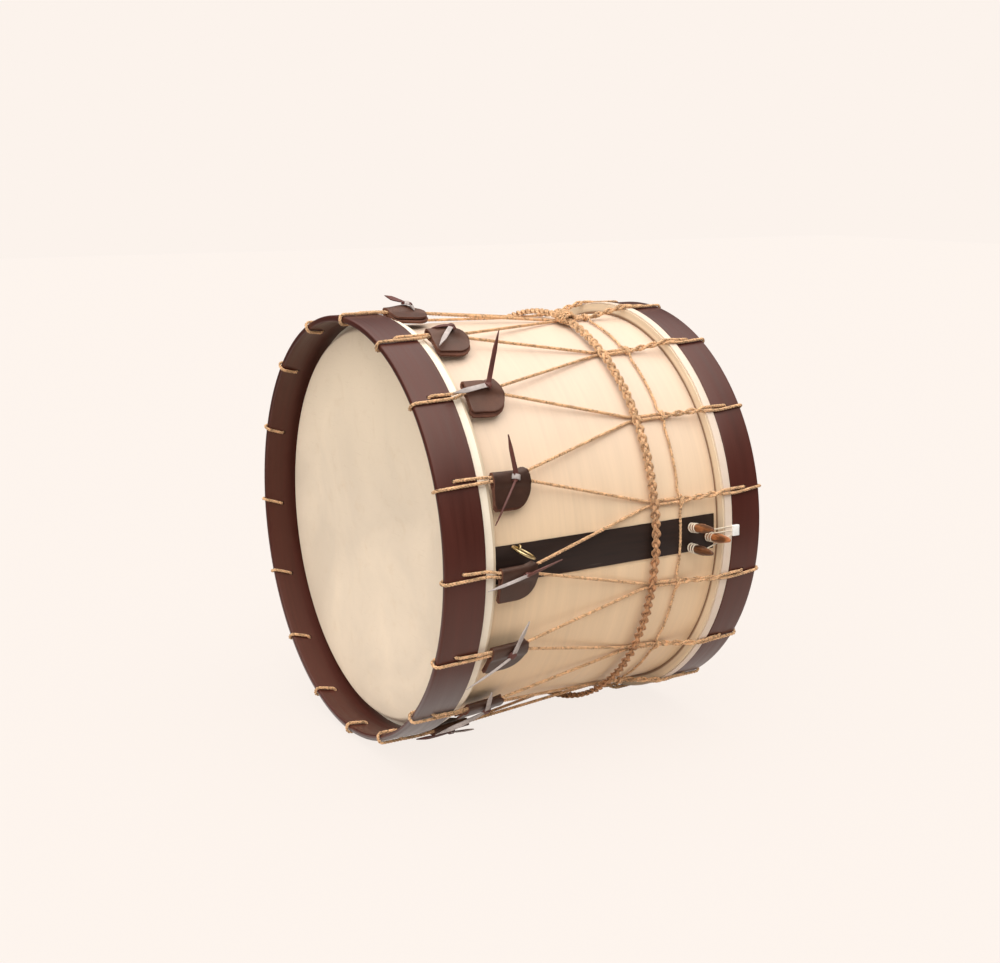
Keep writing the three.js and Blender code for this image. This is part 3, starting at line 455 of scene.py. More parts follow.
class Nodes:
    """Short calls that add and link the nodes of a tree."""

    def __init__(self, tree):
        self.tree = tree

    def node(self, kind, inputs=(), **settings):
        made = self.tree.nodes.new(kind)
        for key, value in settings.items():
            setattr(made, key, value)
        for key, value in dict(inputs).items():
            self.feed(made.inputs[key], value)
        return made

    def feed(self, socket, value):
        if isinstance(value, bpy.types.NodeSocket):
            self.tree.links.new(value, socket)
        else:
            socket.default_value = value

    def sum(self, operation, first, second):
        made = self.node("ShaderNodeMath", operation=operation)
        self.feed(made.inputs[0], first)
        self.feed(made.inputs[1], second)
        return made.outputs[0]

    def span(self, value, low, high, start=0.0, end=1.0, **settings):
        inputs = {"Value": value, "From Min": low, "From Max": high, "To Min": start, "To Max": end}
        return self.node("ShaderNodeMapRange", inputs, **settings).outputs["Result"]

    def mix(self, part, first, second, blend="MIX"):
        made = self.node("ShaderNodeMix", data_type="RGBA", blend_type=blend)
        for socket, value in ((0, part), (6, first), (7, second)):
            if isinstance(value, tuple) and len(value) == 3:
                value = (*value, 1)
            self.feed(made.inputs[socket], value)
        return made.outputs[2]

    def axes(self, place):
        return self.node("ShaderNodeSeparateXYZ", {"Vector": place}).outputs

    def surface(self, part, first, second, output):
        """Shows the second shader by this part, and the first for the rest."""
        both = self.node("ShaderNodeMixShader", {"Fac": part})
        self.feed(both.inputs[1], first.outputs[0])
        self.feed(both.inputs[2], second.outputs[0])
        self.feed(self.tree.nodes[output].inputs["Surface"], both.outputs[0])


class Finish(Nodes):
    """A procedural material, built node by node round one Principled shader."""

    grain_radius = 0.18

    def __init__(self, name, colour_value, roughness, sockets=()):
        self.material = bpy.data.materials.new(name)
        self.material.use_nodes = True
        super().__init__(self.material.node_tree)
        self.shader = self.tree.nodes["Principled BSDF"]
        self.place = self.node("ShaderNodeTexCoord").outputs["Object"]
        self.shader.inputs["Base Color"].default_value = (*colour_value, 1)
        self.shader.inputs["Roughness"].default_value = roughness
        for key, value in dict(sockets).items():
            self.shader.inputs[key].default_value = value

    def stretch(self, scale, place=None, turn=(0, 0, 0)):
        inputs = {"Vector": place or self.place, "Scale": scale, "Rotation": turn}
        return self.node("ShaderNodeMapping", inputs).outputs["Vector"]

    def noise(self, scale, place=None, detail=4.0, rough=0.5, distort=0.0):
        inputs = {"Vector": place or self.place, "Scale": scale, "Detail": detail}
        inputs.update({"Roughness": rough, "Distortion": distort})
        return self.node("ShaderNodeTexNoise", inputs).outputs["Fac"]

    def round_drum(self):
        """Coordinates along the drum, round it and out from its axis, in metres."""
        axes = self.axes(self.place)
        angle = self.sum("ARCTAN2", axes["Y"], axes["Z"])
        out = self.node("ShaderNodeVectorMath", operation="LENGTH")
        flat = self.node("ShaderNodeCombineXYZ", {"Y": axes["Y"], "Z": axes["Z"]}).outputs[0]
        self.feed(out.inputs[0], flat)
        around = self.sum("MULTIPLY", angle, self.grain_radius)
        inputs = {"X": axes["X"], "Y": around, "Z": out.outputs["Value"]}
        return self.node("ShaderNodeCombineXYZ", inputs).outputs[0]

    def height(self):
        """How high a point is on the drum."""
        return self.axes(self.place)["Z"]

    def paint(self, value):
        self.feed(self.shader.inputs["Base Color"], value)

    def gloss(self, value):
        self.feed(self.shader.inputs["Roughness"], value)

    def relief(self, height, strength, depth):
        inputs = {"Height": height, "Strength": strength, "Distance": depth}
        self.feed(self.shader.inputs["Normal"], self.node("ShaderNodeBump", inputs).outputs["Normal"])


def eased(part):
    """A part from 0 to 1 that starts and ends gently."""
    return part * part * (3 - 2 * part)


def tone(value, factor):
    """A colour made lighter or darker."""
    return tuple(min(1.0, part * factor) for part in value)


def bent_wood(name, base, roughness, contrast, sockets=(), painted_gap_shade=False, painted_top_light=False, dusty=False):
    """Wood whose grain runs round the drum, with painted light and shade if asked: painted shade inside where
    it meets the shell, painted light that makes it whiter towards the top, or a painted reflection of the
    floor underneath.
    """
    finish = Finish(name, base, roughness, sockets)
    place = finish.round_drum()
    streaks = finish.noise(1.0, finish.stretch((260, 9, 260), place), 6, 0.6, 0.4)
    bands = finish.noise(1.0, finish.stretch((38, 2.5, 38), place), 3, 0.5, 1.2)
    pores = finish.noise(1.0, finish.stretch((900, 40, 900), place), 2, 0.5)
    grain = finish.sum("ADD", finish.sum("MULTIPLY", streaks, 0.55), finish.sum("MULTIPLY", bands, 0.45))
    part = finish.span(grain, 0.35, 0.65)

    def grained(value):
        return finish.mix(part, tone(value, 1 - contrast), tone(value, 1 + 0.6 * contrast))

    shown = finish.mix(finish.span(pores, 0.62, 0.75, 0, contrast), grained(base), tone(base, 0.45))
    # Painted shade where the hoop meets the shell: darker at its inner radius.
    if painted_gap_shade:
        inner = finish.span(finish.axes(place)["Z"], *FLESH_GAP_SHADE_RADII, 0.85, 0)
        shown = finish.mix(inner, shown, FLESH_GAP_SHADE)
    # Painted light: whiter towards the top.
    if painted_top_light:
        upper = finish.span(finish.height(), *SHELL_TOP_LIGHT_HEIGHTS)
        shown = finish.mix(upper, shown, grained(SHELL_TOP_LIGHT))
    # Painted reflection of the pale floor: greyer low on the outside, at the batter end.
    if dusty:
        spots = finish.axes(place)
        low = finish.span(finish.height(), *HOOP_FLOOR_REFLECTION_HEIGHTS, 0.85, 0)
        front = finish.span(spots["X"], *HOOP_FLOOR_REFLECTION_ALONG, 1, 0)
        outside = finish.span(spots["Z"], *HOOP_FLOOR_REFLECTION_RADII)
        floor_reflection = finish.sum("MULTIPLY", low, finish.sum("MULTIPLY", front, outside))
        shown = finish.mix(floor_reflection, shown, HOOP_FLOOR_REFLECTION)
    finish.paint(shown)
    finish.gloss(finish.span(streaks, 0.3, 0.7, roughness - 0.06, roughness + 0.1))
    finish.relief(finish.sum("ADD", streaks, pores), 0.12, 0.3 * MM)
    return finish.material


def stained_wood(colours):
    """Satin varnish over a dark red-brown stain."""
    sockets = {"Coat Weight": 0.2, "Coat Roughness": 0.25, "Specular IOR Level": 0.55}
    sockets["Specular Tint"] = (1, 0.7, 0.58, 1)
    # The hoops take a painted reflection of the floor, greyer low on the batter hoop's outside.
    return bent_wood("stained_hoop_wood", tuple(colours.stain), 0.42, 0.22, sockets, dusty=True)


def goatskin(colours):
    """Pale skin: cloudy, flecked and finely haired, with painted light that makes it paler at the top, and
    its own tone on each lip.
    """
    base = tuple(colours.skin)
    finish = Finish("goatskin", base, 0.55, {"Sheen Weight": 0.05})
    clouds = finish.noise(9, None, 4, 0.55, 0.8)
    flecks = finish.noise(55, None, 5, 0.6, 0.5)
    hairs = finish.noise(1.0, finish.stretch((300, 60, 700), None, (0.3, 0, 0)), 3, 0.6, 1.0)
    spots = finish.axes(finish.round_drum())
    lip = finish.mix(finish.span(spots["X"], *SKIN_LIPS_ALONG), *SKIN_LIPS)
    clouded = finish.mix(finish.span(clouds, 0.35, 0.68), tone(base, 0.9), tone(base, 1.05))
    # Painted light: paler towards the top.
    uneven = finish.mix(finish.span(finish.height(), *SKIN_TOP_LIGHT_HEIGHTS, 0, 0.75), clouded, SKIN_TOP_LIGHT)
    toned = finish.mix(finish.span(spots["Z"], *SKIN_LIP_RADII, 0, 0.65), uneven, lip)
    warm = finish.mix(finish.span(flecks, 0.55, 0.78, 0, 0.2), toned, SKIN_FLECKS)
    finish.paint(finish.mix(finish.span(hairs, 0.6, 0.8, 0, 0.25), warm, SKIN_HAIRS))
    finish.gloss(finish.span(clouds, 0.3, 0.7, 0.45, 0.62))
    finish.relief(finish.sum("ADD", flecks, hairs), 0.15, 0.4 * MM)
    return finish.material


def jute(colours, name="jute", below=None):
    """Tan bast fibre: dull, streaked along the strands, patchy and specked, shaded below if asked."""
    base = tuple(colours.jute)
    finish = Finish(name, base, 0.85, {"Sheen Weight": 0.15, "Specular IOR Level": 0.25})
    uv = finish.node("ShaderNodeUVMap").outputs["UV"]
    fibres = finish.noise(1.0, finish.stretch((90, 7, 1), uv), 4, 0.65, 0.6)
    specks = finish.noise(520, None, 4, 0.7)
    patches = finish.noise(150, None, 3, 0.6)
    toned = finish.mix(finish.span(patches, 0.35, 0.65), tone(base, 0.62), tone(base, 1.5))
    # Pale streaks along the strands: partly the fibres' own tone, partly painted highlight.
    streaked = finish.mix(finish.span(fibres, 0.38, 0.62, 0, 0.7), toned, tone(base, 1.75))
    # Dark specks: partly dark bits of fibre, partly painted shade in the holes between the yarns.
    fibre = finish.mix(finish.span(specks, 0.52, 0.62, 0, 0.85), streaked, tone(base, 0.27))
    if below:
        shade = finish.mix(finish.span(finish.height(), *BELT_SHADE_HEIGHTS), below, (1, 1, 1))
        fibre = finish.mix(1.0, fibre, shade, "MULTIPLY")
    finish.paint(fibre)
    finish.relief(finish.sum("ADD", fibres, specks), 0.5, 0.25 * MM)
    return finish.material


def tug_leather(name, base):
    """Dark vegetable-tanned leather with a fine grain and a dull, slightly bloomed surface."""
    finish = Finish(name, base, 0.45, {"Specular IOR Level": 0.6, "Specular Tint": (1, 0.78, 0.66, 1)})
    cells = finish.node("ShaderNodeTexVoronoi", {"Vector": finish.place, "Scale": 900.0})
    creases = finish.noise(130, None, 5, 0.6, 0.6)
    bloom = finish.noise(45, None, 4, 0.6)
    toned = finish.mix(finish.span(bloom, 0.35, 0.7), tone(base, 0.78), tone(base, 1.35))
    finish.paint(finish.mix(finish.span(creases, 0.55, 0.75, 0, 0.5), toned, tone(base, 0.5)))
    finish.gloss(finish.span(bloom, 0.3, 0.7, 0.38, 0.52))
    height = finish.sum("ADD", cells.outputs["Distance"], finish.sum("MULTIPLY", creases, 1.5))
    finish.relief(height, 0.25, 0.3 * MM)
    return finish.material


def raw_leather(name, base):
    """Cut edge or flesh side: fibrous and matt."""
    finish = Finish(name, base, 0.85, {"Specular IOR Level": 0.2})
    fibres = finish.noise(420, None, 5, 0.65, 1.0)
    patches = finish.noise(80, None, 3, 0.5)
    toned = finish.mix(finish.span(patches, 0.3, 0.7), tone(base, 0.75), tone(base, 1.2))
    finish.paint(finish.mix(finish.span(fibres, 0.5, 0.75, 0, 0.5), toned, tone(base, 0.5)))
    finish.relief(fibres, 0.35, 0.3 * MM)
    return finish.material


def thong_leather(colours):
    base = tuple(colours.thong)
    finish = Finish("thong_grain_side", base, 0.55)
    grain = finish.noise(350, None, 4, 0.6, 0.4)
    patches = finish.noise(60, None, 3, 0.5)
    toned = finish.mix(finish.span(patches, 0.3, 0.7), tone(base, 0.7), tone(base, 1.35))
    finish.paint(finish.mix(finish.span(grain, 0.55, 0.75, 0, 0.5), toned, tone(base, 0.5)))
    finish.relief(grain, 0.25, 0.2 * MM)
    return finish.material


def dark_veneer(colours):
    """Near-black strip: satin, with faint pale scratches and open grain along the drum."""
    base = tuple(colours.strip)
    finish = Finish("dark_veneer", base, 0.48, {"Specular IOR Level": 0.4})
    grain = finish.noise(1.0, finish.stretch((14, 420, 420)), 5, 0.6, 0.3)
    scratches = finish.noise(1.0, finish.stretch((26, 900, 700), None, (0, 0.5, 0)), 2, 0.4, 0.6)
    toned = finish.mix(finish.span(grain, 0.35, 0.65), tone(base, 0.75), tone(base, 1.3))
    finish.paint(finish.mix(finish.span(scratches, 0.7, 0.78, 0, 0.3), toned, VENEER_SCRATCHES))
    finish.gloss(finish.span(grain, 0.3, 0.7, 0.46, 0.62))
    finish.relief(grain, 0.2, 0.3 * MM)
    return finish.material


def brass(colours):
    base = tuple(colours.brass)
    finish = Finish("brass", base, 0.28, {"Metallic": 1.0})
    tarnish = finish.noise(220, None, 4, 0.6)
    finish.paint(finish.mix(finish.span(tarnish, 0.45, 0.7, 0, 0.6), base, tone(base, 0.4)))
    finish.gloss(finish.span(tarnish, 0.3, 0.7, 0.2, 0.42))
    return finish.material


def peg_wood(name, base):
    """Turned wood with its figure and dark grain along the peg."""
    finish = Finish(name, base, 0.38, {"Coat Weight": 0.2, "Coat Roughness": 0.25})
    grain = finish.noise(1.0, finish.stretch((650, 45, 650)), 5, 0.6, 0.6)
    figure = finish.noise(1.0, finish.stretch((160, 26, 160)), 3, 0.5, 1.5)
    toned = finish.mix(finish.span(figure, 0.4, 0.6), tone(base, 0.35), tone(base, 1.4))
    finish.paint(finish.mix(finish.span(grain, 0.5, 0.7, 0, 0.7), toned, tone(base, 0.22)))
    finish.relief(grain, 0.2, 0.2 * MM)
    return finish.material


def gut_string(colours):
    base = tuple(colours.gut)
    finish = Finish("gut_string", base, 0.4)
    uv = finish.node("ShaderNodeUVMap").outputs["UV"]
    twist = finish.noise(1.0, finish.stretch((260, 3, 1), uv), 2, 0.5)
    finish.paint(finish.mix(finish.span(twist, 0.35, 0.65), tone(base, 0.86), tone(base, 1.04)))
    finish.relief(twist, 0.3, 0.15 * MM)
    return finish.material


def bone(colours):
    base = tuple(colours.bone)
    finish = Finish("bone", base, 0.38)
    clouds = finish.noise(160, None, 4, 0.55)
    pores = finish.noise(1.0, finish.stretch((400, 900, 900)), 2, 0.5)
    toned = finish.mix(finish.span(clouds, 0.35, 0.7), tone(base, 0.92), tone(base, 1.02))
    finish.paint(finish.mix(finish.span(pores, 0.66, 0.76, 0, 0.4), toned, BONE_PORES))
    finish.relief(pores, 0.1, 0.1 * MM)
    return finish.material


def once(make, *arguments):
    """A finish that several pieces share is made for the first of them."""
    key = make.__name__ + "".join(str(a) for a in arguments if isinstance(a, str))
    shared = bpy.context.scene.get("drum_finishes") or {}
    if key in shared:
        return bpy.data.materials[shared[key]]
    made = make(*arguments)
    bpy.context.scene["drum_finishes"] = {**dict(shared), key: made.name}
    return made


class DrumOperator:
    """Common to the operators: the settings, and an end that says the work is done."""

    bl_options = {"REGISTER", "UNDO"}

    def execute(self, context):
        self.build(context.scene.drum_sizes, context.scene.drum_colours)
        return {"FINISHED"}


class DRUM_OT_shell(DrumOperator, bpy.types.Operator):
    """Build the bent wooden shell and the dark strip over its seam."""

    bl_idname = "drum.shell"
    bl_label = "Shell and seam strip"

    def build(self, sizes, colours):
        outside = sizes.shell_diameter / 2
        inside = outside - sizes.shell_thickness
        crown = outside - sizes.shell_thickness / 2
        corners = [
            (SHELL_FRONT, crown),
            (SHELL_FRONT + BEARING_DEPTH, outside),
            (SHELL_BACK - BEARING_DEPTH, outside),
            (SHELL_BACK, crown),
            (SHELL_BACK - BEARING_DEPTH, inside),
            (SHELL_FRONT + BEARING_DEPTH, inside),
        ]
        section = fillet([Vector((x, r, 0)) for x, r in corners], 2.5 * MM, 4, closed=True)
        ring = turned_ring([(p.x, p.y) for p in section])
        # The shell takes painted light: whiter towards the top.
        wood = bent_wood("shell_wood", tuple(colours.shell), 0.5, 0.06, painted_top_light=True)
        piece("shell_body", ring, [wood], "drum", ["shell"], 40)
        self.strip(sizes, colours)

    def strip(self, sizes, colours):
        columns, rows = 60, 16
        thickness = 0.8 * MM
        radius = sizes.shell_diameter / 2 + CLOSE_FIT + thickness / 2
        mesh = bmesh.new()
        bmesh.ops.create_grid(mesh, x_segments=columns, y_segments=rows, size=1)
        for vert in mesh.verts:
            along, across = (vert.co.x + 1) / 2, vert.co.y
            x = STRIP_FRONT + along * (STRIP_BACK - STRIP_FRONT)
            ragged = 0.25 * MM * noise.noise(Vector((x * 90, across * 3, 0)))
            shift = STRIP_SIDES[0] + along * (STRIP_SIDES[1] - STRIP_SIDES[0])
            side = across * sizes.strip_width / 2 + shift + ragged
            vert.co = on_drum(x, SEAM_ANGLE, radius, side)
        bmesh.ops.recalc_face_normals(mesh, faces=mesh.faces)
        bmesh.ops.solidify(mesh, geom=mesh.faces, thickness=thickness)
        piece("seam_strip_veneer", mesh, [dark_veneer(colours)], "drum", ["seam_strip"], 40)


class DRUM_OT_heads(DrumOperator, bpy.types.Operator):
    """Build the two goatskin heads with their lips over the flesh hoops."""

    bl_idname = "drum.heads"
    bl_label = "Heads"

    def build(self, sizes, colours):
        finish = goatskin(colours)
        for name, face, hoop_edge, lip, flesh, inwards in (
            ("batter", BATTER_FACE, BATTER_HOOP_BACK, BATTER_LIP, BATTER_COLLAR, 1),
            ("snare", SNARE_FACE, SNARE_HOOP_FRONT, SNARE_LIP, SNARE_COLLAR, -1),
        ):
            skin = self.skin(sizes, face, hoop_edge, lip, flesh, inwards)
            piece(name + "_skin", skin, [finish], "drum", [name + "_head"], 50)

    def skin(self, sizes, face, hoop_edge, lip, flesh, inwards):
        collar = sizes.shell_diameter / 2 + SEAT + SKIN
        crown = sizes.shell_diameter / 2 - sizes.shell_thickness / 2
        shoulder = face + inwards * (SKIN + BEARING_DEPTH)
        seat = hoop_edge + inwards * SEAT
        outer = flesh + SEAT + SKIN
        bends = [(face, crown), (shoulder, collar), (seat, collar), (seat, outer), (lip, outer)]
        rings = [Vector((face, part * crown / 10, 0)) for part in range(10)]
        line = rings + fillet([rings[-1]] + [Vector((x, r, 0)) for x, r in bends], 2 * MM, 4)[1:]
        mesh = turned_ring([(point.x, point.y) for point in line], closed=False)
        for vert in mesh.verts:
            if abs(vert.co.x - lip) < MERGE:
                vert.co.x += 0.9 * MM * noise.noise(30 * vert.co)
        middle = min(mesh.faces, key=lambda face: face.calc_center_median().yz.length)
        if (middle.normal.x < 0) != (inwards > 0):
            bmesh.ops.reverse_faces(mesh, faces=mesh.faces)
        bmesh.ops.solidify(mesh, geom=mesh.faces, thickness=SKIN)
        return mesh


class DRUM_OT_hoops(DrumOperator, bpy.types.Operator):
    """Build the flesh hoops, and the stained counterhoops with their rope holes."""

    bl_idname = "drum.hoops"
    bl_label = "Hoops"

    def build(self, sizes, colours):
        # The flesh hoops take painted shade where they meet the shell.
        bare = bent_wood("flesh_hoop_wood", tuple(colours.flesh_wood), 0.58, 0.16, painted_gap_shade=True)
        for name, (low, high), outside in (
            ("batter_flesh_hoop", BATTER_FLESH, BATTER_COLLAR),
            ("snare_flesh_hoop", SNARE_FLESH, SNARE_COLLAR),
        ):
            inside = sizes.shell_diameter / 2 + SEAT
            section = rounded_section(low, high, inside, outside, 1.5 * MM)
            piece(name + "_ring", turned_ring(section), [bare], "drum", [name], 40)
        stained = stained_wood(colours)
        batter_ends, snare_ends = (BATTER_RIM, BATTER_HOOP_BACK), (SNARE_HOOP_FRONT, SNARE_RIM)
        batter_hole, snare_hole = BATTER_RIM + HOLE_INSET, SNARE_RIM - HOLE_INSET
        for name, ends, diameter, hole, first, slips in (
            ("batter_counterhoop", batter_ends, sizes.batter_hoop, batter_hole, 0, BATTER_SLIPS),
            ("snare_counterhoop", snare_ends, sizes.hoop_diameter, snare_hole, 0.5, SNARE_SLIPS),
        ):
            mesh = self.counterhoop(sizes, ends, diameter / 2, hole, first)
            for vert in mesh.verts:
                station = (math.atan2(-vert.co.y, vert.co.z) - PHASE) / PITCH - first
                vert.co.rotate(Matrix.Rotation(slip(station, slips), 3, "X"))
            piece(name + "_ring", mesh, [stained], "drum", [name], 40)

    def counterhoop(self, sizes, ends, outside, hole, first):
        """A ring with one square face for each rope hole, which is rounded and bored through."""
        low, high = ends
        inside = outside - sizes.hoop_thickness
        half, bore = 3.1 * MM, 2 * MM
        section = rounded_section(low, high, inside, outside, 2 * MM, (hole - half, hole + half))
        shift = -PAIR_SPACING / 2 / outside
        mesh = turned_ring(section, station_angle(first) + shift - TURN / RING_STEPS / 2)
        middles = {face: face.calc_center_median() for face in mesh.faces}
        for k in range(STATIONS):
            angle = station_angle(first + k) + shift
            rims = []
            for radius in (outside, inside):
                centre = on_drum(hole, angle, radius)
                face = min(middles, key=lambda one: (middles[one] - centre).length_squared)
                bmesh.ops.inset_individual(mesh, faces=[face], thickness=0.3 * MM)
                bmesh.ops.subdivide_edges(mesh, edges=list(face.edges), cuts=1)
                out = centre.copy()
                out.x = 0
                out.normalize()
                for vert in face.verts:
                    offset = vert.co - centre
                    offset -= out * offset.dot(out)
                    vert.co = centre + offset.normalized() * bore
                rims += list(face.edges)
                bmesh.ops.delete(mesh, geom=[face], context="FACES_ONLY")
                del middles[face]
            bmesh.ops.bridge_loops(mesh, edges=rims)
        bmesh.ops.recalc_face_normals(mesh, faces=mesh.faces)
        return mesh


class DRUM_OT_lacing(DrumOperator, bpy.types.Operator):
    """Lace the drum with one rope of twisted jute, in vees that follow the tugs."""

    bl_idname = "drum.lacing"
    bl_label = "Lacing rope"

    def build(self, sizes, colours):
        self.finish = once(jute, colours)
        self.ply, self.circle = rope_sizes(sizes.rope)
        batter_loops = []
        for k in range(STATIONS):
            strands = self.laid(sizes, self.front_route(sizes, k))
            middle = TUG_FRONT + sizes.tug_length / 2
            batter_loops += self.part(strands, -1, LOOP_END)
            front, vee = self.part(strands, LOOP_END, middle), self.part(strands, middle, 1)
            self.sliding(sizes, k, "rope_front", front, (LOOP_END, TUG_FRONT))
            vee_ends = (belt_entry(sizes), TUG_FRONT + sizes.tug_length)
            self.sliding(sizes, k, "rope_vee", vee, vee_ends)
        self.still("rope_batter_loops", batter_loops, [])
        snare_side = []
        for k in range(STATIONS):
            for route in self.rear_routes(sizes, k):
                snare_side += self.laid(sizes, route)
        parts = ["lacing_rope", "lacing_rope_under", "lacing_rope_end", "snare_loop_08", "snare_loop_09"]
        self.still("rope_snare_side", snare_side, parts)

    def laid(self, sizes, route):
        line = even(fillet(route, 4.5 * MM, 6), sizes.rope_lay / 8)
        return plies(line, 3, self.circle, sizes.rope_lay)

    def part(self, strands, low, high):
        """The stretches of each strand that lie between two places along the drum."""
        found = []
        for strand in strands:
            stretch = []
            for i, point in enumerate(strand):
                if low <= point.x < high:
                    if not stretch and i:
                        stretch.append(strand[i - 1])
                    stretch.append(point)
                elif stretch:
                    found.append(stretch + [point])
                    stretch = []
            if stretch:
                found.append(stretch)
        return [stretch for stretch in found if len(stretch) > 3]

    def still(self, name, lines, nodes):
        piece(name, tubes(name, lines, self.ply), [self.finish], "drum", nodes)

    def sliding(self, sizes, k, name, lines, reach):
        """A stretch of rope as a piece of its own, named with its tug's number; the two places that it is
        given are not used.
        """
        number = "%02d" % (k + 1)
        name = "%s_%s" % (name, number)
        obj = piece(name, tubes(name, lines, self.ply), [self.finish])
        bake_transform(obj)

    def hoop_loop(self, sizes, rim, inwards, angle, over):
        """Through the hole, along the inside of the hoop and back over its rim, beside the hole."""
        on_hoop = rope_lines(sizes)[1 if inwards > 0 else 2]
        inside = on_hoop - sizes.hoop_thickness - 2 * SEAT - sizes.rope
        past = -SEAT - sizes.rope / 2
        half = PAIR_SPACING / 2
        corners = (
            (HOLE_INSET, on_hoop, -half),
            (HOLE_INSET, inside, -half),
            (past, inside, over),
            (past, on_hoop, over),
        )
        return [on_drum(rim + inwards * depth, angle, radius, side) for depth, radius, side in corners]

    def front_route(self, sizes, k):
        """From the belt to the tug, round the batter hoop and back to the belt one station on."""
        on_shell, on_hoop, _ = rope_lines(sizes)
        angle = tug_angle(k)
        at_hoop = station_angle(k) + slip(k, BATTER_SLIPS)
        half, close = PAIR_SPACING / 2, TUG_PAIR / 2
        face = BATTER_HOOP_BACK + sizes.rope / 2

        def run(side, rear):
            return [
                on_drum(BELT_PLACE, rear, on_shell, -side * half),
                on_drum(belt_entry(sizes), rear, on_shell, -side * half),
                on_drum(VEE_START, angle, rope_radius_at(sizes, VEE_START), side * close),
                on_drum(TUG_FRONT, angle, rope_radius_at(sizes, TUG_FRONT), side * close),
                on_drum(face, at_hoop, on_hoop, side * half),
            ]

        loop = self.hoop_loop(sizes, BATTER_RIM, 1, at_hoop, 1.9 * half)
        return run(-1, rear_angle(k - 1, BELT_SLIPS)) + loop + run(1, rear_angle(k, BELT_SLIPS))[::-1]

    def rear_run(self, sizes, k, side):
        """From the belt under the binding cord, twisted round the other strand, to the snare hoop."""
        on_shell, _, on_hoop = rope_lines(sizes)
        half = PAIR_SPACING / 2
        low, high = SNARE_FLESH
        over = SNARE_COLLAR + 2 * SEAT + SKIN + sizes.rope / 2
        lift = PAIR_LIFT
        start = BINDING_PLACE + 2 * sizes.rope
        at_belt, at_hoop = rear_angle(k, BELT_SLIPS), rear_angle(k, SNARE_SLIPS)
        points = [
            on_drum(BELT_PLACE, at_belt, on_shell, side * half),
            on_drum(BELT_PLACE + sizes.belt_width, at_belt, on_shell, side * 0.8 * half),
            on_drum(BINDING_PLACE, at_belt, on_shell + lift, side * 0.75 * half),
        ]
        steps, twist, turns = 24, 0.72 * half, 1.5
        for i in range(steps + 1):
            part = i / steps
            turn = TURN * turns * part
            angle = at_belt + (at_hoop - at_belt) * part
            radius = on_shell + lift + (over - on_shell - lift) * part + side * twist * math.sin(turn)
            x = start + (low - start) * part
            points.append(on_drum(x, angle, radius, side * twist * math.cos(turn)))
        points.append(on_drum(high - sizes.rope / 2, at_hoop, over, -side * 0.8 * half))
        points.append(on_drum(SNARE_HOOP_FRONT + sizes.rope, at_hoop, on_hoop, -side * half))
        return points

    def rear_routes(self, sizes, k):
        """From the belt, round the snare hoop and back, or to the rope's two ends at their station."""
        loop = self.hoop_loop(sizes, SNARE_RIM, -1, rear_angle(k, SNARE_SLIPS), -0.3 * PAIR_SPACING)
        there, back = self.rear_run(sizes, k, -1), self.rear_run(sizes, k, 1)
        if k != ROPE_ENDS_STATION:
            return [there + loop[::-1] + back[::-1]]
        inside = loop[1]
        first = back + loop[:1] + self.stopper(inside, Vector((1, 0, 0)))
        second = there + loop[:1:-1] + self.stopper(loop[2].lerp(loop[1], 0.45), Vector((0, 0, 1)))
        return [first, second]

    def stopper(self, place, axis):
        """A small coil of the rope's own end, for a stopper knot inside the hoop."""
        inwards = Vector((0, -place.y, -place.z)).normalized()
        side = axis.cross(inwards).normalized()
        points = [place]
        for i in range(1, 19):
            turn = TURN * i / 9
            depth = 1.5 * MM + 0.3 * MM * i
            points.append(place + inwards * depth + 2 * MM * (axis * math.sin(turn) + side * math.cos(turn)))
        return points


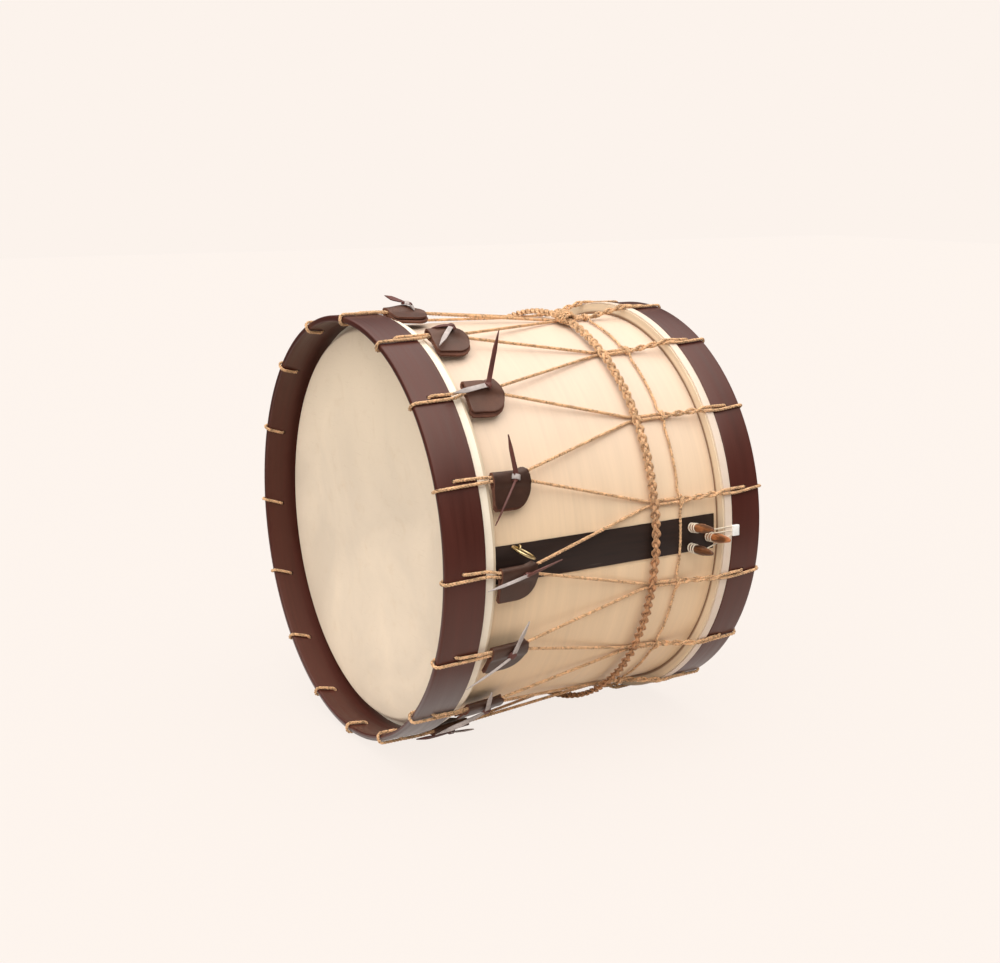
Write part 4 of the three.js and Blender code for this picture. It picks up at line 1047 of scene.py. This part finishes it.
class DRUM_OT_belt(DrumOperator, bpy.types.Operator):
    """Plait the belt that gathers the rope pairs, with its whipped join."""

    bl_idname = "drum.belt"
    bl_label = "Plaited belt"

    seed = 7
    stitches = 46
    yarn = 1.02 * MM
    sag = 2.4 * MM
    knot_angle = math.radians(11.65)

    def build(self, sizes, colours):
        finish = jute(colours, "belt_jute", BELT_SHADE)
        noise.seed_set(self.seed)
        radius = rope_lines(sizes)[0] + sizes.rope / 2 + SEAT + sizes.belt_thickness / 2
        flat = 3.4 * self.yarn
        swing = (sizes.belt_width - flat) / 2
        rise = (sizes.belt_thickness - self.yarn) / 2
        steps = self.stitches * 24
        lines = []
        for n in range(3):
            line = []
            for i in range(steps):
                angle = TURN * i / steps
                phase = self.stitches * angle + TURN * n / 3
                x = BELT_PLACE + swing * math.sin(phase)
                hang = self.sag * max(0, -math.cos(angle)) ** 3
                point = on_drum(x, angle, radius + hang + rise * math.sin(2 * phase))
                line.append(point + 0.5 * MM * noise.noise_vector(110 * point + Vector((n, 0, 0))))
            lines += self.yarns(line)
        mesh = tubes("belt_plait", lines, self.yarn / 2, closed=True)
        piece("belt_plait", mesh, [finish], "drum", ["braided_belt"])
        self.whipping(finish, radius)

    def yarns(self, line):
        """Four yarns side by side along a closed strand, each a little loose."""
        found = []
        for n in (-1.5, -0.5, 0.5, 1.5):
            yarn = []
            for i, point in enumerate(line):
                along = (line[(i + 1) % len(line)] - line[i - 1]).normalized()
                out = Vector((0, point.y, point.z)).normalized()
                across = along.cross(out).normalized()
                loose = 0.5 * MM * noise.noise_vector(240 * point + Vector((7 * n, 0, 0)))
                yarn.append(point + 0.8 * n * self.yarn * across - 0.12 * n * n * self.yarn * out + loose)
            found.append(yarn)
        return found

    def whipping(self, finish, radius):
        """Broad wraps over the belt's join, fuller in the middle."""
        cord = 2.7 * MM
        wraps, steps = 7, 26
        line = []
        for i in range(wraps * steps + 1):
            turn = TURN * i / steps
            part = i / (wraps * steps) - 0.5
            full = 1 - 1.6 * part * part
            wide, high = 8 * MM * full, 6 * MM * full
            out = 1.5 * MM + max(high * math.sin(turn), -0.6 * high)
            x = BELT_PLACE + wide * math.cos(turn)
            line.append(on_drum(x, self.knot_angle, radius + out, part * wraps * cord))
        ply, circle = rope_sizes(cord, 2)
        strands = plies(even(line, 1.2 * MM), 2, circle, 8 * MM)
        mesh = tubes("belt_whipping", strands, 1.15 * ply)
        piece("belt_whipping", mesh, [finish], "drum")


class DRUM_OT_binding(DrumOperator, bpy.types.Operator):
    """Run the binding cord round the drum, with a turn round each rope pair."""

    bl_idname = "drum.binding"
    bl_label = "Binding cord"

    def build(self, sizes, colours):
        half = sizes.binding / 2
        on_shell = rope_lines(sizes)[0]
        low = sizes.shell_diameter / 2 + 1.1 * MM + half
        pair = on_shell + PAIR_LIFT
        over = pair + sizes.rope / 2 + 0.7 * half
        under = sizes.shell_diameter / 2 + half
        wide = PAIR_SPACING / 2 + sizes.rope / 2 + 0.5 * half
        step = 1.05 * sizes.binding
        turn = (
            (0, low, -2.6 * wide),
            (0, pair, -1.25 * wide),
            (0.1, over, -0.5 * wide),
            (0.2, over, 0.6 * wide),
            (0.35, pair, 1.15 * wide),
            (0.5, under, 0.4 * wide),
            (0.65, under, -0.4 * wide),
            (0.8, pair, -1.15 * wide),
            (0.95, over, -0.6 * wide),
            (1, over, 0.5 * wide),
            (0.9, pair, 1.25 * wide),
            (0.4, low, 2.6 * wide),
        )
        points = []
        for k in range(STATIONS):
            angle = rear_angle(k, BELT_SLIPS)
            for shift, radius, side in turn:
                points.append(on_drum(BINDING_PLACE + (shift - 0.5) * step, angle, radius, side))
            for part in (0.75, 1, 1.25):
                points.append(on_drum(BINDING_PLACE, station_angle(k + part), low))
        line = even(fillet(points + points[:1], 2.5 * MM, 4), 1.0 * MM)
        ply, circle = rope_sizes(sizes.binding, 2)
        mesh = tubes("binding_twine", plies(line, 2, circle, 7 * MM), 1.2 * ply)
        piece("binding_twine", mesh, [once(jute, colours)], "drum", ["binding_cord"])


class DRUM_OT_tugs(DrumOperator, bpy.types.Operator):
    """Fold a leather tug round each rope pair and tie it with a pointed lace."""

    bl_idname = "drum.tugs"
    bl_label = "Tugs and laces"

    def build(self, sizes, colours):
        edge = raw_leather("tug_leather_edge", tuple(colours.leather_edge))
        flesh = raw_leather("thong_flesh_side", tuple(colours.thong_flesh))
        base = tuple(colours.leather)
        # Two copies of one leather: a darker one, painted shade, for most tugs, and a lighter one, painted
        # sheen of the bright sky, for the upper tugs.
        leather = tug_leather("tug_leather", tone(base, 0.72))
        painted_sky_sheen = tug_leather("tug_leather_worn", tone(base, 1.45))
        thong = thong_leather(colours)
        tilt = math.atan(rope_slope(sizes))
        for k in range(STATIONS):
            number = "%02d" % (k + 1)
            middle = TUG_FRONT + sizes.tug_length / 2 - TUG_LEADS.get(k, 0)
            seat = Matrix.Translation((middle, 0, rope_radius_at(sizes, middle)))
            seat @= Matrix.Rotation(tilt, 4, "Y") @ Matrix.Translation((0, TUG_RISES.get(k, 0), 0))
            place = Matrix.Rotation(tug_angle(k), 4, "X") @ seat
            hump = TUG_HUMPS.get(k, 0)
            body = "tug_%s_body" % number
            chance = random.Random(k)
            # The upper tugs take the lighter copy, with painted sky sheen.
            corner, grain = (HUMPED_CORNER, painted_sky_sheen) if k in TUG_HUMPS else (TUG_CORNER, leather)
            tug = self.tug(sizes, chance, corner, hump)
            tug.transform(place)
            obj = piece("tug_leather_" + number, tug, [grain, edge, edge], body, ["tug_" + number])
            thicken(obj, sizes.leather, bevel=0.35 * MM)
            kind = min(k, len(LACE_TIPS) - 1)
            twists = LACE_TWISTS.get(k) or (chance.uniform(-0.5, 0.9), chance.uniform(-0.5, 0.9))
            along, across = LACE_SHIFTS.get(k, (0, 0))
            knot = Vector((LACE_PLACE[0] + along, LACE_PLACE[1] + across, hump))
            widths = LACE_WIDTHS.get(k, (1, 1))
            lace = self.lace(sizes, knot, LACE_TIPS[kind], LACE_SIDES[kind], twists, widths)
            lace.transform(place)
            sides = [thong, flesh, thong, flesh]
            obj = piece("lace_thong_" + number, lace, sides, body, ["lace_" + number])
            thicken(obj, 1.1 * MM, bevel=0.15 * MM)

    def tug(self, sizes, chance, corner, hump):
        """A flat piece of leather, folded over the ropes so that its two leaves meet below them."""
        columns, rows = 20, 46
        mesh = bmesh.new()
        bmesh.ops.create_grid(mesh, x_segments=columns, y_segments=rows, size=1)
        open_by = chance.uniform(0.1, 0.9) * MM
        longer = chance.uniform(1.4, 2.6) * MM
        droop = chance.uniform(4, 5.2) * MM
        half = sizes.tug_length / 2
        for vert in mesh.verts:
            x = self.column(vert.co.x) * half
            leaf = self.outline(sizes, x) + (longer if vert.co.y < 0 else 0)
            y, z = self.fold(sizes, x, vert.co.y, leaf, open_by)
            z -= droop * max(0, -y / sizes.tug_leaf) ** 1.4
            if vert.co.y > 0:
                z += hump * math.exp(-((x / (11 * MM)) ** 2) - ((y + 2 * MM) / (8 * MM)) ** 2)
            x -= self.notch(abs(vert.co.y) * leaf, corner) * (x + half) / (2 * half)
            vert.co = (x, y, z)
        bmesh.ops.recalc_face_normals(mesh, faces=mesh.faces)
        outer = max(mesh.faces, key=lambda face: face.calc_center_median().z)
        if outer.normal.z < 0:
            bmesh.ops.reverse_faces(mesh, faces=mesh.faces)
        return mesh

    def column(self, part):
        """Columns lie closer together towards the tug's round back corner."""
        return math.sin(part * math.pi / 2) if part > 0 else part

    def notch(self, down, corner):
        """How much the back edge is cut away near the fold, so that its upper corner is round too."""
        return corner - math.sqrt(max(corner**2 - max(corner - down, 0) ** 2, 0))

    def outline(self, sizes, x):
        """How far a leaf reaches below the ropes: a small front corner and a large round one behind."""
        half, leaf = sizes.tug_length / 2, sizes.tug_leaf
        front, back = 2.5 * MM, 16 * MM
        if x < front - half:
            return leaf - front + math.sqrt(max(front**2 - (front - half - x) ** 2, 0))
        if x > half - back:
            return leaf - back + math.sqrt(max(back**2 - (x - half + back) ** 2, 0))
        return leaf

    def fold(self, sizes, x, part, leaf, open_by):
        """A point of the bent sheet: part runs from 1 at the outer leaf's edge to -1 at the inner one's."""
        thick = sizes.leather / 2
        room = sizes.rope / 2 + thick + 0.15 * MM
        spread = max(0, x + TUG_FRONT + sizes.tug_length / 2 - VEE_START)
        fold_centre = PAIR_SPACING / 2 + 0.24 * spread + 0.1 * MM
        lower = -PAIR_SPACING / 2 - 0.24 * spread - 1.5 * MM
        closed = thick + 0.1 * MM
        arc = math.pi * room / 2
        flat = max(fold_centre - lower, 0)
        total = arc + flat + (leaf + lower)
        along = abs(part) * total
        if along < arc:
            turn = along / room
            y, z = fold_centre + room * math.cos(turn), room * math.sin(turn)
        elif along < arc + flat:
            y, z = fold_centre - (along - arc), room
        else:
            down = along - arc - flat
            y = lower - down
            pinch = min(1, down / (6 * MM))
            z = room + (closed - room) * eased(pinch) + open_by * max(0, down / leaf) ** 2
        return y, math.copysign(z, part) if along > 0 else 0

    def lace(self, sizes, knot, tips, sides, twists, widths):
        """Two pointed tails from a knot over the slit, where the thong laps over itself."""
        knot.z += sizes.rope / 2 + sizes.leather + 2 * MM
        unit = max(widths) * MM
        mesh = bmesh.new()
        ends = [Vector((x * MM, -around * MM, out * MM)) for x, around, out in tips]
        for end, side, twist, width in zip(ends, sides, twists, widths):
            raised = knot.lerp(end, 0.4)
            raised.z = max(raised.z, knot.z + 0.5 * MM)
            parts = [step / 16 for step in range(17)]
            path = [knot.lerp(raised, part).lerp(raised.lerp(end, part), part) for part in parts]
            self.thong(mesh, path, width * sizes.lace_width, twist, side, pointed=True)
        across = (ends[0] - ends[1]).normalized()
        across = (across - Vector((0, 0, across.z))).normalized()
        other = Vector((-across.y, across.x, 0))
        base = knot - Vector((0, 0, 1.6 * MM))
        beside = across * 1.4 * MM
        self.lap(mesh, base, other, (3.4 * unit, 2.9 * unit, 4.2 * unit), sides[2])
        turns = (across * 0.8 + other * 0.6, across * 0.8 - other * 0.6)
        self.lap(mesh, base + beside, turns[0], (3.2 * unit, 2.2 * unit, 3 * unit), GRAIN)
        self.lap(mesh, base - beside, turns[1], (3.2 * unit, 2 * unit, 3 * unit), GRAIN)
        return mesh

    def lap(self, mesh, base, direction, size, side):
        """A lap of the thong over the knot."""
        steps = 12
        reach, height, width = size
        direction = direction.normalized()
        path = []
        for i in range(steps + 1):
            turn = math.pi * i / steps
            path.append(base - direction * reach * math.cos(turn) + Vector((0, 0, height * math.sin(turn))))
        self.thong(mesh, path, width, 0, side, pointed=False)

    def thong(self, mesh, path, width, twist, side, pointed):
        """A flat strip along a path, turning about it by twist, cut to a point and with one side outwards."""
        made = bmesh.ops.create_grid(mesh, x_segments=len(path) - 1, y_segments=2, size=1)
        count = len(path) - 1
        for vert in made["verts"]:
            i = round((vert.co.x + 1) / 2 * count)
            part = i / count
            along = (path[min(i + 1, count)] - path[max(i - 1, 0)]).normalized()
            flat = along.cross(Vector((0, 0, 1)))
            flat = flat.normalized() if flat.length > 1e-3 else Vector((0, 1, 0))
            flat = Matrix.Rotation(twist * part, 3, along) @ flat
            taper = min(1, 0.08 + (1 - part) / 0.3) if pointed else 1
            slant = 0.25 * (1 - taper) if pointed else 0
            vert.co = path[i] + flat * (vert.co.y * taper + slant) * width / 2
        faces = list({face for vert in made["verts"] for face in vert.link_faces})
        for face in faces:
            face.normal_update()
            face.material_index = side
        if sum(face.normal.z for face in faces) < 0:
            bmesh.ops.reverse_faces(mesh, faces=faces)


def thicken(obj, thickness, bevel):
    """Gives a sheet its thickness, with the flesh side and cut edge as further finishes."""
    wall = obj.modifiers.new("thickness", "SOLIDIFY")
    wall.thickness = thickness
    wall.offset = 0
    wall.material_offset = 1
    wall.material_offset_rim = 2
    edge = obj.modifiers.new("edge", "BEVEL")
    edge.width = bevel
    edge.segments = 2
    edge.limit_method = "ANGLE"
    edge.angle_limit = math.radians(50)


class DRUM_OT_sling(DrumOperator, bpy.types.Operator):
    """Make the brass eye and the ring that a shoulder sling hooks into."""

    bl_idname = "drum.sling"
    bl_label = "Sling eye and ring"

    side = -13.6 * MM
    turn = math.radians(-27)
    lean = math.radians(12)
    radius = 10.1 * MM
    wire = 1.1 * MM
    height = 5.6 * MM
    eye_radius = 2.6 * MM
    eye_wire = 0.9 * MM
    shank = 9 * MM
    collar_height = 4.6 * MM

    def build(self, sizes, colours):
        metal = brass(colours)
        place = Matrix.Rotation(SEAM_ANGLE + self.side / PIVOT_RADIUS, 4, "X")
        place @= Matrix.Translation((EYE_PLACE, 0, PIVOT_RADIUS)) @ Matrix.Rotation(self.turn, 4, "Z")
        eye = self.wire_ring(self.eye_radius, self.eye_wire, (1, 0, 0), 40)
        bmesh.ops.translate(eye, vec=(0, 0, self.height), verts=eye.verts)
        shank = bmesh.ops.create_cone(
            eye, cap_ends=True, segments=20, depth=self.shank, radius1=self.eye_wire,
            radius2=self.eye_wire,
        )["verts"]
        bmesh.ops.translate(eye, vec=(0, 0, self.height - self.eye_radius - self.shank / 2), verts=shank)
        collar = bmesh.ops.create_cone(
            eye, cap_ends=True, segments=24, radius1=1.7 * MM, radius2=1.2 * MM, depth=0.8 * MM
        )["verts"]
        bmesh.ops.translate(eye, vec=(0, 0, self.collar_height), verts=collar)
        eye.transform(place)
        piece("sling_eye_wire", eye, [metal], "drum", ["sling_eye"], 40)
        ring = self.wire_ring(self.radius, self.wire, (0, 1, 0), 72)
        bmesh.ops.translate(ring, vec=(0, 0, self.height + self.radius), verts=ring.verts)
        lean = Matrix.Rotation(self.lean, 3, "X")
        bmesh.ops.rotate(ring, cent=(0, 0, self.height), matrix=lean, verts=ring.verts)
        ring.transform(place)
        piece("sling_ring_wire", ring, [metal], "sling_ring_body", ["sling_ring"])

    def wire_ring(self, radius, wire, axis, steps):
        mesh = bmesh.new()
        made = bmesh.ops.create_circle(mesh, segments=14, radius=wire)
        axis = Vector(axis)
        out = Vector((0, 0, 1))
        basis = Matrix((out, axis, out.cross(axis))).transposed().to_4x4()
        bmesh.ops.transform(mesh, matrix=Matrix.Translation(out * radius) @ basis, verts=made["verts"])
        bmesh.ops.spin(
            mesh, geom=mesh.verts[:] + mesh.edges[:], cent=(0, 0, 0), axis=axis, angle=TURN, steps=steps,
            use_merge=True,
        )
        bmesh.ops.remove_doubles(mesh, verts=mesh.verts, dist=MERGE)
        bmesh.ops.recalc_face_normals(mesh, faces=mesh.faces)
        return mesh


class DRUM_OT_snare(DrumOperator, bpy.types.Operator):
    """Turn the three pegs, wind the guts on them and run them over their bone guide and the snare head."""

    bl_idname = "drum.snare"
    bl_label = "Snare"

    tilt = math.radians(6)
    shank = 3.3 * MM
    gut_sides = (-4 * MM, 4 * MM, 0)
    guide_side = -4.3 * MM

    def build(self, sizes, colours):
        base = tuple(colours.peg)
        # The lower peg's darker tone is painted shade; the middle peg is given a lighter tone.
        woods = {"upper": base, "middle": tone(base, 1.5), "lower": tone(base, 0.5)}
        for n, (name, _, _) in enumerate(PEGS):
            peg = self.peg(sizes)
            peg.transform(self.peg_frame(n))
            wood = peg_wood("peg_wood_" + name, woods[name])
            nodes = ["snare_peg_" + name]
            piece("peg_%s_turned" % name, peg, [wood], name + "_peg_body", nodes, 50)
        string = gut_string(colours)
        first, second, middle = (self.gut_run(sizes, n) for n in range(3))
        over = [self.far_end(sizes, 0.6 * side, 2.6 * MM) for side in (self.gut_sides[1], self.gut_sides[0])]
        for name, route, node in (
            ("snare_gut_string", first + over + second[::-1], "snare_gut"),
            ("snare_gut_middle_string", middle + self.stopper(sizes), "snare_gut_middle"),
        ):
            line = even(fillet(route, 1.2 * MM, 4), 0.9 * MM)
            mesh = tubes(name, [line], sizes.gut / 2, sides=8)
            piece(name, mesh, [string], "drum", [node])
        self.guide(sizes, colours)

    def guide_angle(self, sizes):
        return SEAM_ANGLE + self.guide_side / (sizes.hoop_diameter / 2)

    def peg_frame(self, n):
        """Where a peg leaves the shell, with z out along it."""
        name, side, _ = PEGS[n]
        seat = Matrix.Translation((middle_of("snare_peg_" + name), 0, PIVOT_RADIUS))
        turn = Matrix.Rotation(SEAM_ANGLE + side / PIVOT_RADIUS, 4, "X")
        return turn @ seat @ Matrix.Rotation(-self.tilt, 4, "X")

    def peg(self, sizes):
        """A turned shank with a flattened head that swells and tapers to a small round tip."""
        out = sizes.peg_out / MM
        shank = self.shank / MM
        outline = ((0, -12), (2.7, -12), (shank, -11), (shank, 0), (shank, 10), (3.45, 12), (3.85, 15))
        outline += ((4.1, 18), (4.2, 21.5), (4.1, 25), (3.8, out - 12), (3.3, out - 8), (2.7, out - 5))
        outline += ((2.1, out - 2.6), (1.75, out - 1.2), (1.3, out - 0.4), (0.7, out - 0.1), (0, out))
        mesh = bmesh.new()
        verts = [mesh.verts.new((radius * MM, 0, along * MM)) for radius, along in outline]
        edges = [mesh.edges.new(pair) for pair in zip(verts, verts[1:])]
        bmesh.ops.spin(
            mesh, geom=verts + edges, cent=(0, 0, 0), axis=(0, 0, 1), angle=TURN, steps=40, use_merge=True
        )
        bmesh.ops.remove_doubles(mesh, verts=mesh.verts, dist=MERGE)
        for vert in mesh.verts:
            part = min(max((vert.co.z - 12 * MM) / (14 * MM), 0), 1)
            vert.co.x *= 1 - 0.2 * eased(part)
        bmesh.ops.recalc_face_normals(mesh, faces=mesh.faces)
        return mesh

    def winding(self, sizes, n):
        """Turns of gut on a peg, with wood showing between them, that end towards the guide."""
        _, side, leaves = PEGS[n]
        radius = self.shank + 0.05 * MM + sizes.gut / 2
        turns, steps, pitch = 3, 24, 3.4 * MM
        start = sizes.shell_diameter / 2 - PIVOT_RADIUS + 1.2 * MM
        frame_of_peg = self.peg_frame(n)
        across = side + leaves * radius - self.guide_side - self.gut_sides[n]
        bend = math.atan2(leaves * across, SNARE_HOOP_FRONT - frame_of_peg.translation.x)
        points = []
        for i in range(turns * steps + 1):
            part = i / steps - turns
            turn = leaves * (math.pi / 2 - bend - TURN * part)
            out = start + pitch * (part + turns)
            points.append(frame_of_peg @ Vector((radius * math.cos(turn), -radius * math.sin(turn), out)))
        return points

    def far_end(self, sizes, side, lift):
        """A point outside the far side of the snare hoop, over the holes that the guts come through."""
        hole = SNARE_FACE + SEAT + sizes.gut
        radius = sizes.hoop_diameter / 2 + sizes.gut / 2 + lift
        return on_drum(hole, self.guide_angle(sizes) + math.pi, radius, side)

    def stopper(self, sizes):
        """The middle gut's end, coiled into a small knot."""
        start = self.far_end(sizes, 0, 0)
        out = Vector((0, start.y, start.z)).normalized()
        across = Vector((1, 0, 0)).cross(out)
        points = []
        for i in range(13):
            turn = TURN * i / 8
            swing = Vector((1, 0, 0)) * math.cos(turn) + across * math.sin(turn)
            points.append(start + out * 0.12 * MM * i + 0.8 * MM * swing)
        return points

    def gut_run(self, sizes, n):
        """From a peg over the guide, through the snare hoop and across the head to the far side."""
        half = sizes.gut / 2
        hole = SNARE_FACE + SEAT + sizes.gut
        on_hoop = sizes.hoop_diameter / 2 + CLOSE_FIT + half
        hoop_inside = sizes.hoop_diameter / 2 - sizes.hoop_thickness
        on_head = SNARE_FACE + CLOSE_FIT + half
        near = self.guide_angle(sizes)
        side = self.gut_sides[n]

        def through(angle, shift):
            return [
                on_drum(hole, angle, on_hoop, shift),
                on_drum(hole, angle, hoop_inside - half, shift),
                on_drum(on_head, angle, hoop_inside - 5 * MM, shift),
            ]

        guide = on_drum(SNARE_HOOP_FRONT - 1.6 * MM, near, on_hoop + 0.3 * MM, side)
        return self.winding(sizes, n) + [guide] + through(near, side) + through(near + math.pi, -side)[::-1]

    def guide(self, sizes, colours):
        """A bone block on the hoop, over the three guts."""
        low, high = reach("snare_guide")
        seat = sizes.hoop_diameter / 2 - 0.2 * MM
        size = Vector((high - low, 9.8 * MM, 3.3 * MM))
        mesh = bmesh.new()
        bmesh.ops.create_cube(mesh, size=1)
        bmesh.ops.scale(mesh, vec=size, verts=mesh.verts)
        bmesh.ops.bevel(
            mesh, geom=mesh.edges[:], offset=0.7 * MM, affect="EDGES", segments=3, profile=0.5, material=-1
        )
        bmesh.ops.translate(mesh, vec=((low + high) / 2, 0, seat + size.z / 2), verts=mesh.verts)
        mesh.transform(Matrix.Rotation(self.guide_angle(sizes), 4, "X"))
        piece("snare_guide_block", mesh, [bone(colours)], "drum", ["snare_guide"], 30)


class DRUM_OT_stage(DrumOperator, bpy.types.Operator):
    """Set the pale floor, the soft light and the camera."""

    bl_idname = "drum.stage"
    bl_label = "Stage"

    camera_place = Vector((-564.7, -1186.5, 316.2)) * MM
    camera_turn = (math.radians(78.13), 0, math.radians(-30.58))
    lens, sensor = 53.17, 36
    floor_size, floor_gap = 8, 0.5 * MM
    floor_middle = (0.13, 0, CAD_BOX[0].z)
    sky_tint = (1, 0.975, 0.95, 1)

    # Name, turns about x and z in degrees, strength and softness of each lamp; fills give no gleams
    key = ("key_light", (28, 0), 1.12, 70)
    fills = (("front_light", (68, -40), 1.14, 60), ("head_light", (88, -88), 1.3, 70))

    def build(self, sizes, colours):
        backdrop = tuple(colours.backdrop)
        bpy.context.scene.view_settings.view_transform = "Standard"
        self.floor(backdrop)
        self.world(backdrop)
        self.sun(*self.key)
        for fill in self.fills:
            light = self.sun(*fill)
            light.visible_glossy = False
            light.data.specular_factor = 0
        data = bpy.data.cameras.new("photo_camera")
        data.sensor_fit = "HORIZONTAL"
        data.sensor_width = self.sensor
        data.lens = self.lens
        camera = bpy.data.objects.new("photo_camera", data)
        camera.location = self.camera_place
        camera.rotation_euler = self.camera_turn
        bpy.context.scene.collection.objects.link(camera)
        bpy.context.scene.camera = camera

    def sun(self, name, turns, strength, softness):
        data = bpy.data.lights.new(name, "SUN")
        data.energy = strength
        data.angle = math.radians(softness)
        light = bpy.data.objects.new(name, data)
        about_x, about_z = turns
        light.rotation_euler = (math.radians(about_x), 0, math.radians(about_z))
        bpy.context.scene.collection.objects.link(light)
        return light

    def near(self, nodes):
        """1 on the floor round the drum, falling to almost nothing further out."""
        place = nodes.node("ShaderNodeTexCoord").outputs["Object"]
        away = nodes.node("ShaderNodeVectorMath", operation="DISTANCE")
        nodes.feed(away.inputs[0], place)
        nodes.feed(away.inputs[1], self.floor_middle)
        return nodes.span(away.outputs["Value"], 0.45, 1.0, 1, 0.05)

    def floor(self, backdrop):
        """Matt and pale round the drum; to the camera the backdrop's colour with the drum's shadow."""
        mesh = bmesh.new()
        bmesh.ops.create_grid(mesh, x_segments=1, y_segments=1, size=self.floor_size)
        bmesh.ops.translate(mesh, vec=(0, 0, CAD_BOX[0].z - self.floor_gap), verts=mesh.verts)
        data = bpy.data.meshes.new("floor")
        mesh.to_mesh(data)
        mesh.free()
        floor = bpy.data.objects.new("floor", data)
        bpy.context.scene.collection.objects.link(floor)
        material = bpy.data.materials.new("floor")
        material.use_nodes = True
        nodes = Nodes(material.node_tree)
        nodes.tree.nodes.remove(nodes.tree.nodes["Principled BSDF"])
        path = nodes.node("ShaderNodeLightPath").outputs
        straight = nodes.sum("MAXIMUM", path["Is Camera Ray"], path["Is Transmission Ray"])
        near = self.near(nodes)
        lit = nodes.sum("MAXIMUM", straight, near)
        tint = nodes.mix(lit, tone(backdrop, 0.04), tone(backdrop, 0.6))
        matt = nodes.node("ShaderNodeBsdfDiffuse", {"Color": tint})
        glow = nodes.node("ShaderNodeEmission", {"Color": (*backdrop, 1), "Strength": 1.02})
        shown = nodes.sum("MAXIMUM", straight, nodes.sum("MULTIPLY", path["Is Glossy Ray"], near))
        nodes.surface(nodes.sum("MULTIPLY", shown, 0.9), matt, glow, "Material Output")
        data.materials.append(material)

    def world(self, backdrop):
        """Cream to the camera; for light and reflections bright above and dim round the horizon."""
        world = bpy.data.worlds.new("studio")
        world.use_nodes = True
        nodes = Nodes(world.node_tree)
        around = nodes.tree.nodes["Background"]
        around.inputs["Color"].default_value = self.sky_tint
        up = nodes.axes(nodes.node("ShaderNodeTexCoord").outputs["Generated"])["Z"]
        strength = nodes.span(up, 0.4, 0.88, 0.07, 1.9, interpolation_type="SMOOTHSTEP")
        nodes.feed(around.inputs["Strength"], strength)
        shown = nodes.node("ShaderNodeBackground", {"Color": (*backdrop, 1)})
        to_camera = nodes.node("ShaderNodeLightPath").outputs["Is Camera Ray"]
        nodes.surface(to_camera, around, shown, "World Output")
        bpy.context.scene.world = world


OPERATORS = (
    DRUM_OT_stage,
    DRUM_OT_shell,
    DRUM_OT_heads,
    DRUM_OT_hoops,
    DRUM_OT_lacing,
    DRUM_OT_belt,
    DRUM_OT_binding,
    DRUM_OT_tugs,
    DRUM_OT_sling,
    DRUM_OT_snare,
)


class DRUM_PT_panel(bpy.types.Panel):
    """The drum's pieces and settings."""

    bl_idname = "DRUM_PT_panel"
    bl_label = "Rope drum"
    bl_space_type = "VIEW_3D"
    bl_region_type = "UI"
    bl_category = "Drum"

    def draw(self, context):
        layout = self.layout
        for operator in OPERATORS:
            layout.operator(operator.bl_idname)
        for settings in (context.scene.drum_sizes, context.scene.drum_colours):
            box = layout.box()
            for key in settings.bl_rna.properties.keys():
                if key not in ("rna_type", "name"):
                    box.prop(settings, key)


CLASSES = (DrumSizes, DrumColours, *OPERATORS, DRUM_PT_panel)


def register():
    for item in CLASSES:
        bpy.utils.register_class(item)
    bpy.types.Scene.drum_sizes = PointerProperty(type=DrumSizes)
    bpy.types.Scene.drum_colours = PointerProperty(type=DrumColours)


def unregister():
    del bpy.types.Scene.drum_colours
    del bpy.types.Scene.drum_sizes
    for item in reversed(CLASSES):
        bpy.utils.unregister_class(item)


def main():
    register()
    for operator in OPERATORS:
        group, name = operator.bl_idname.split(".")
        getattr(getattr(bpy.ops, group), name)()


if __name__ == "__main__":
    main()
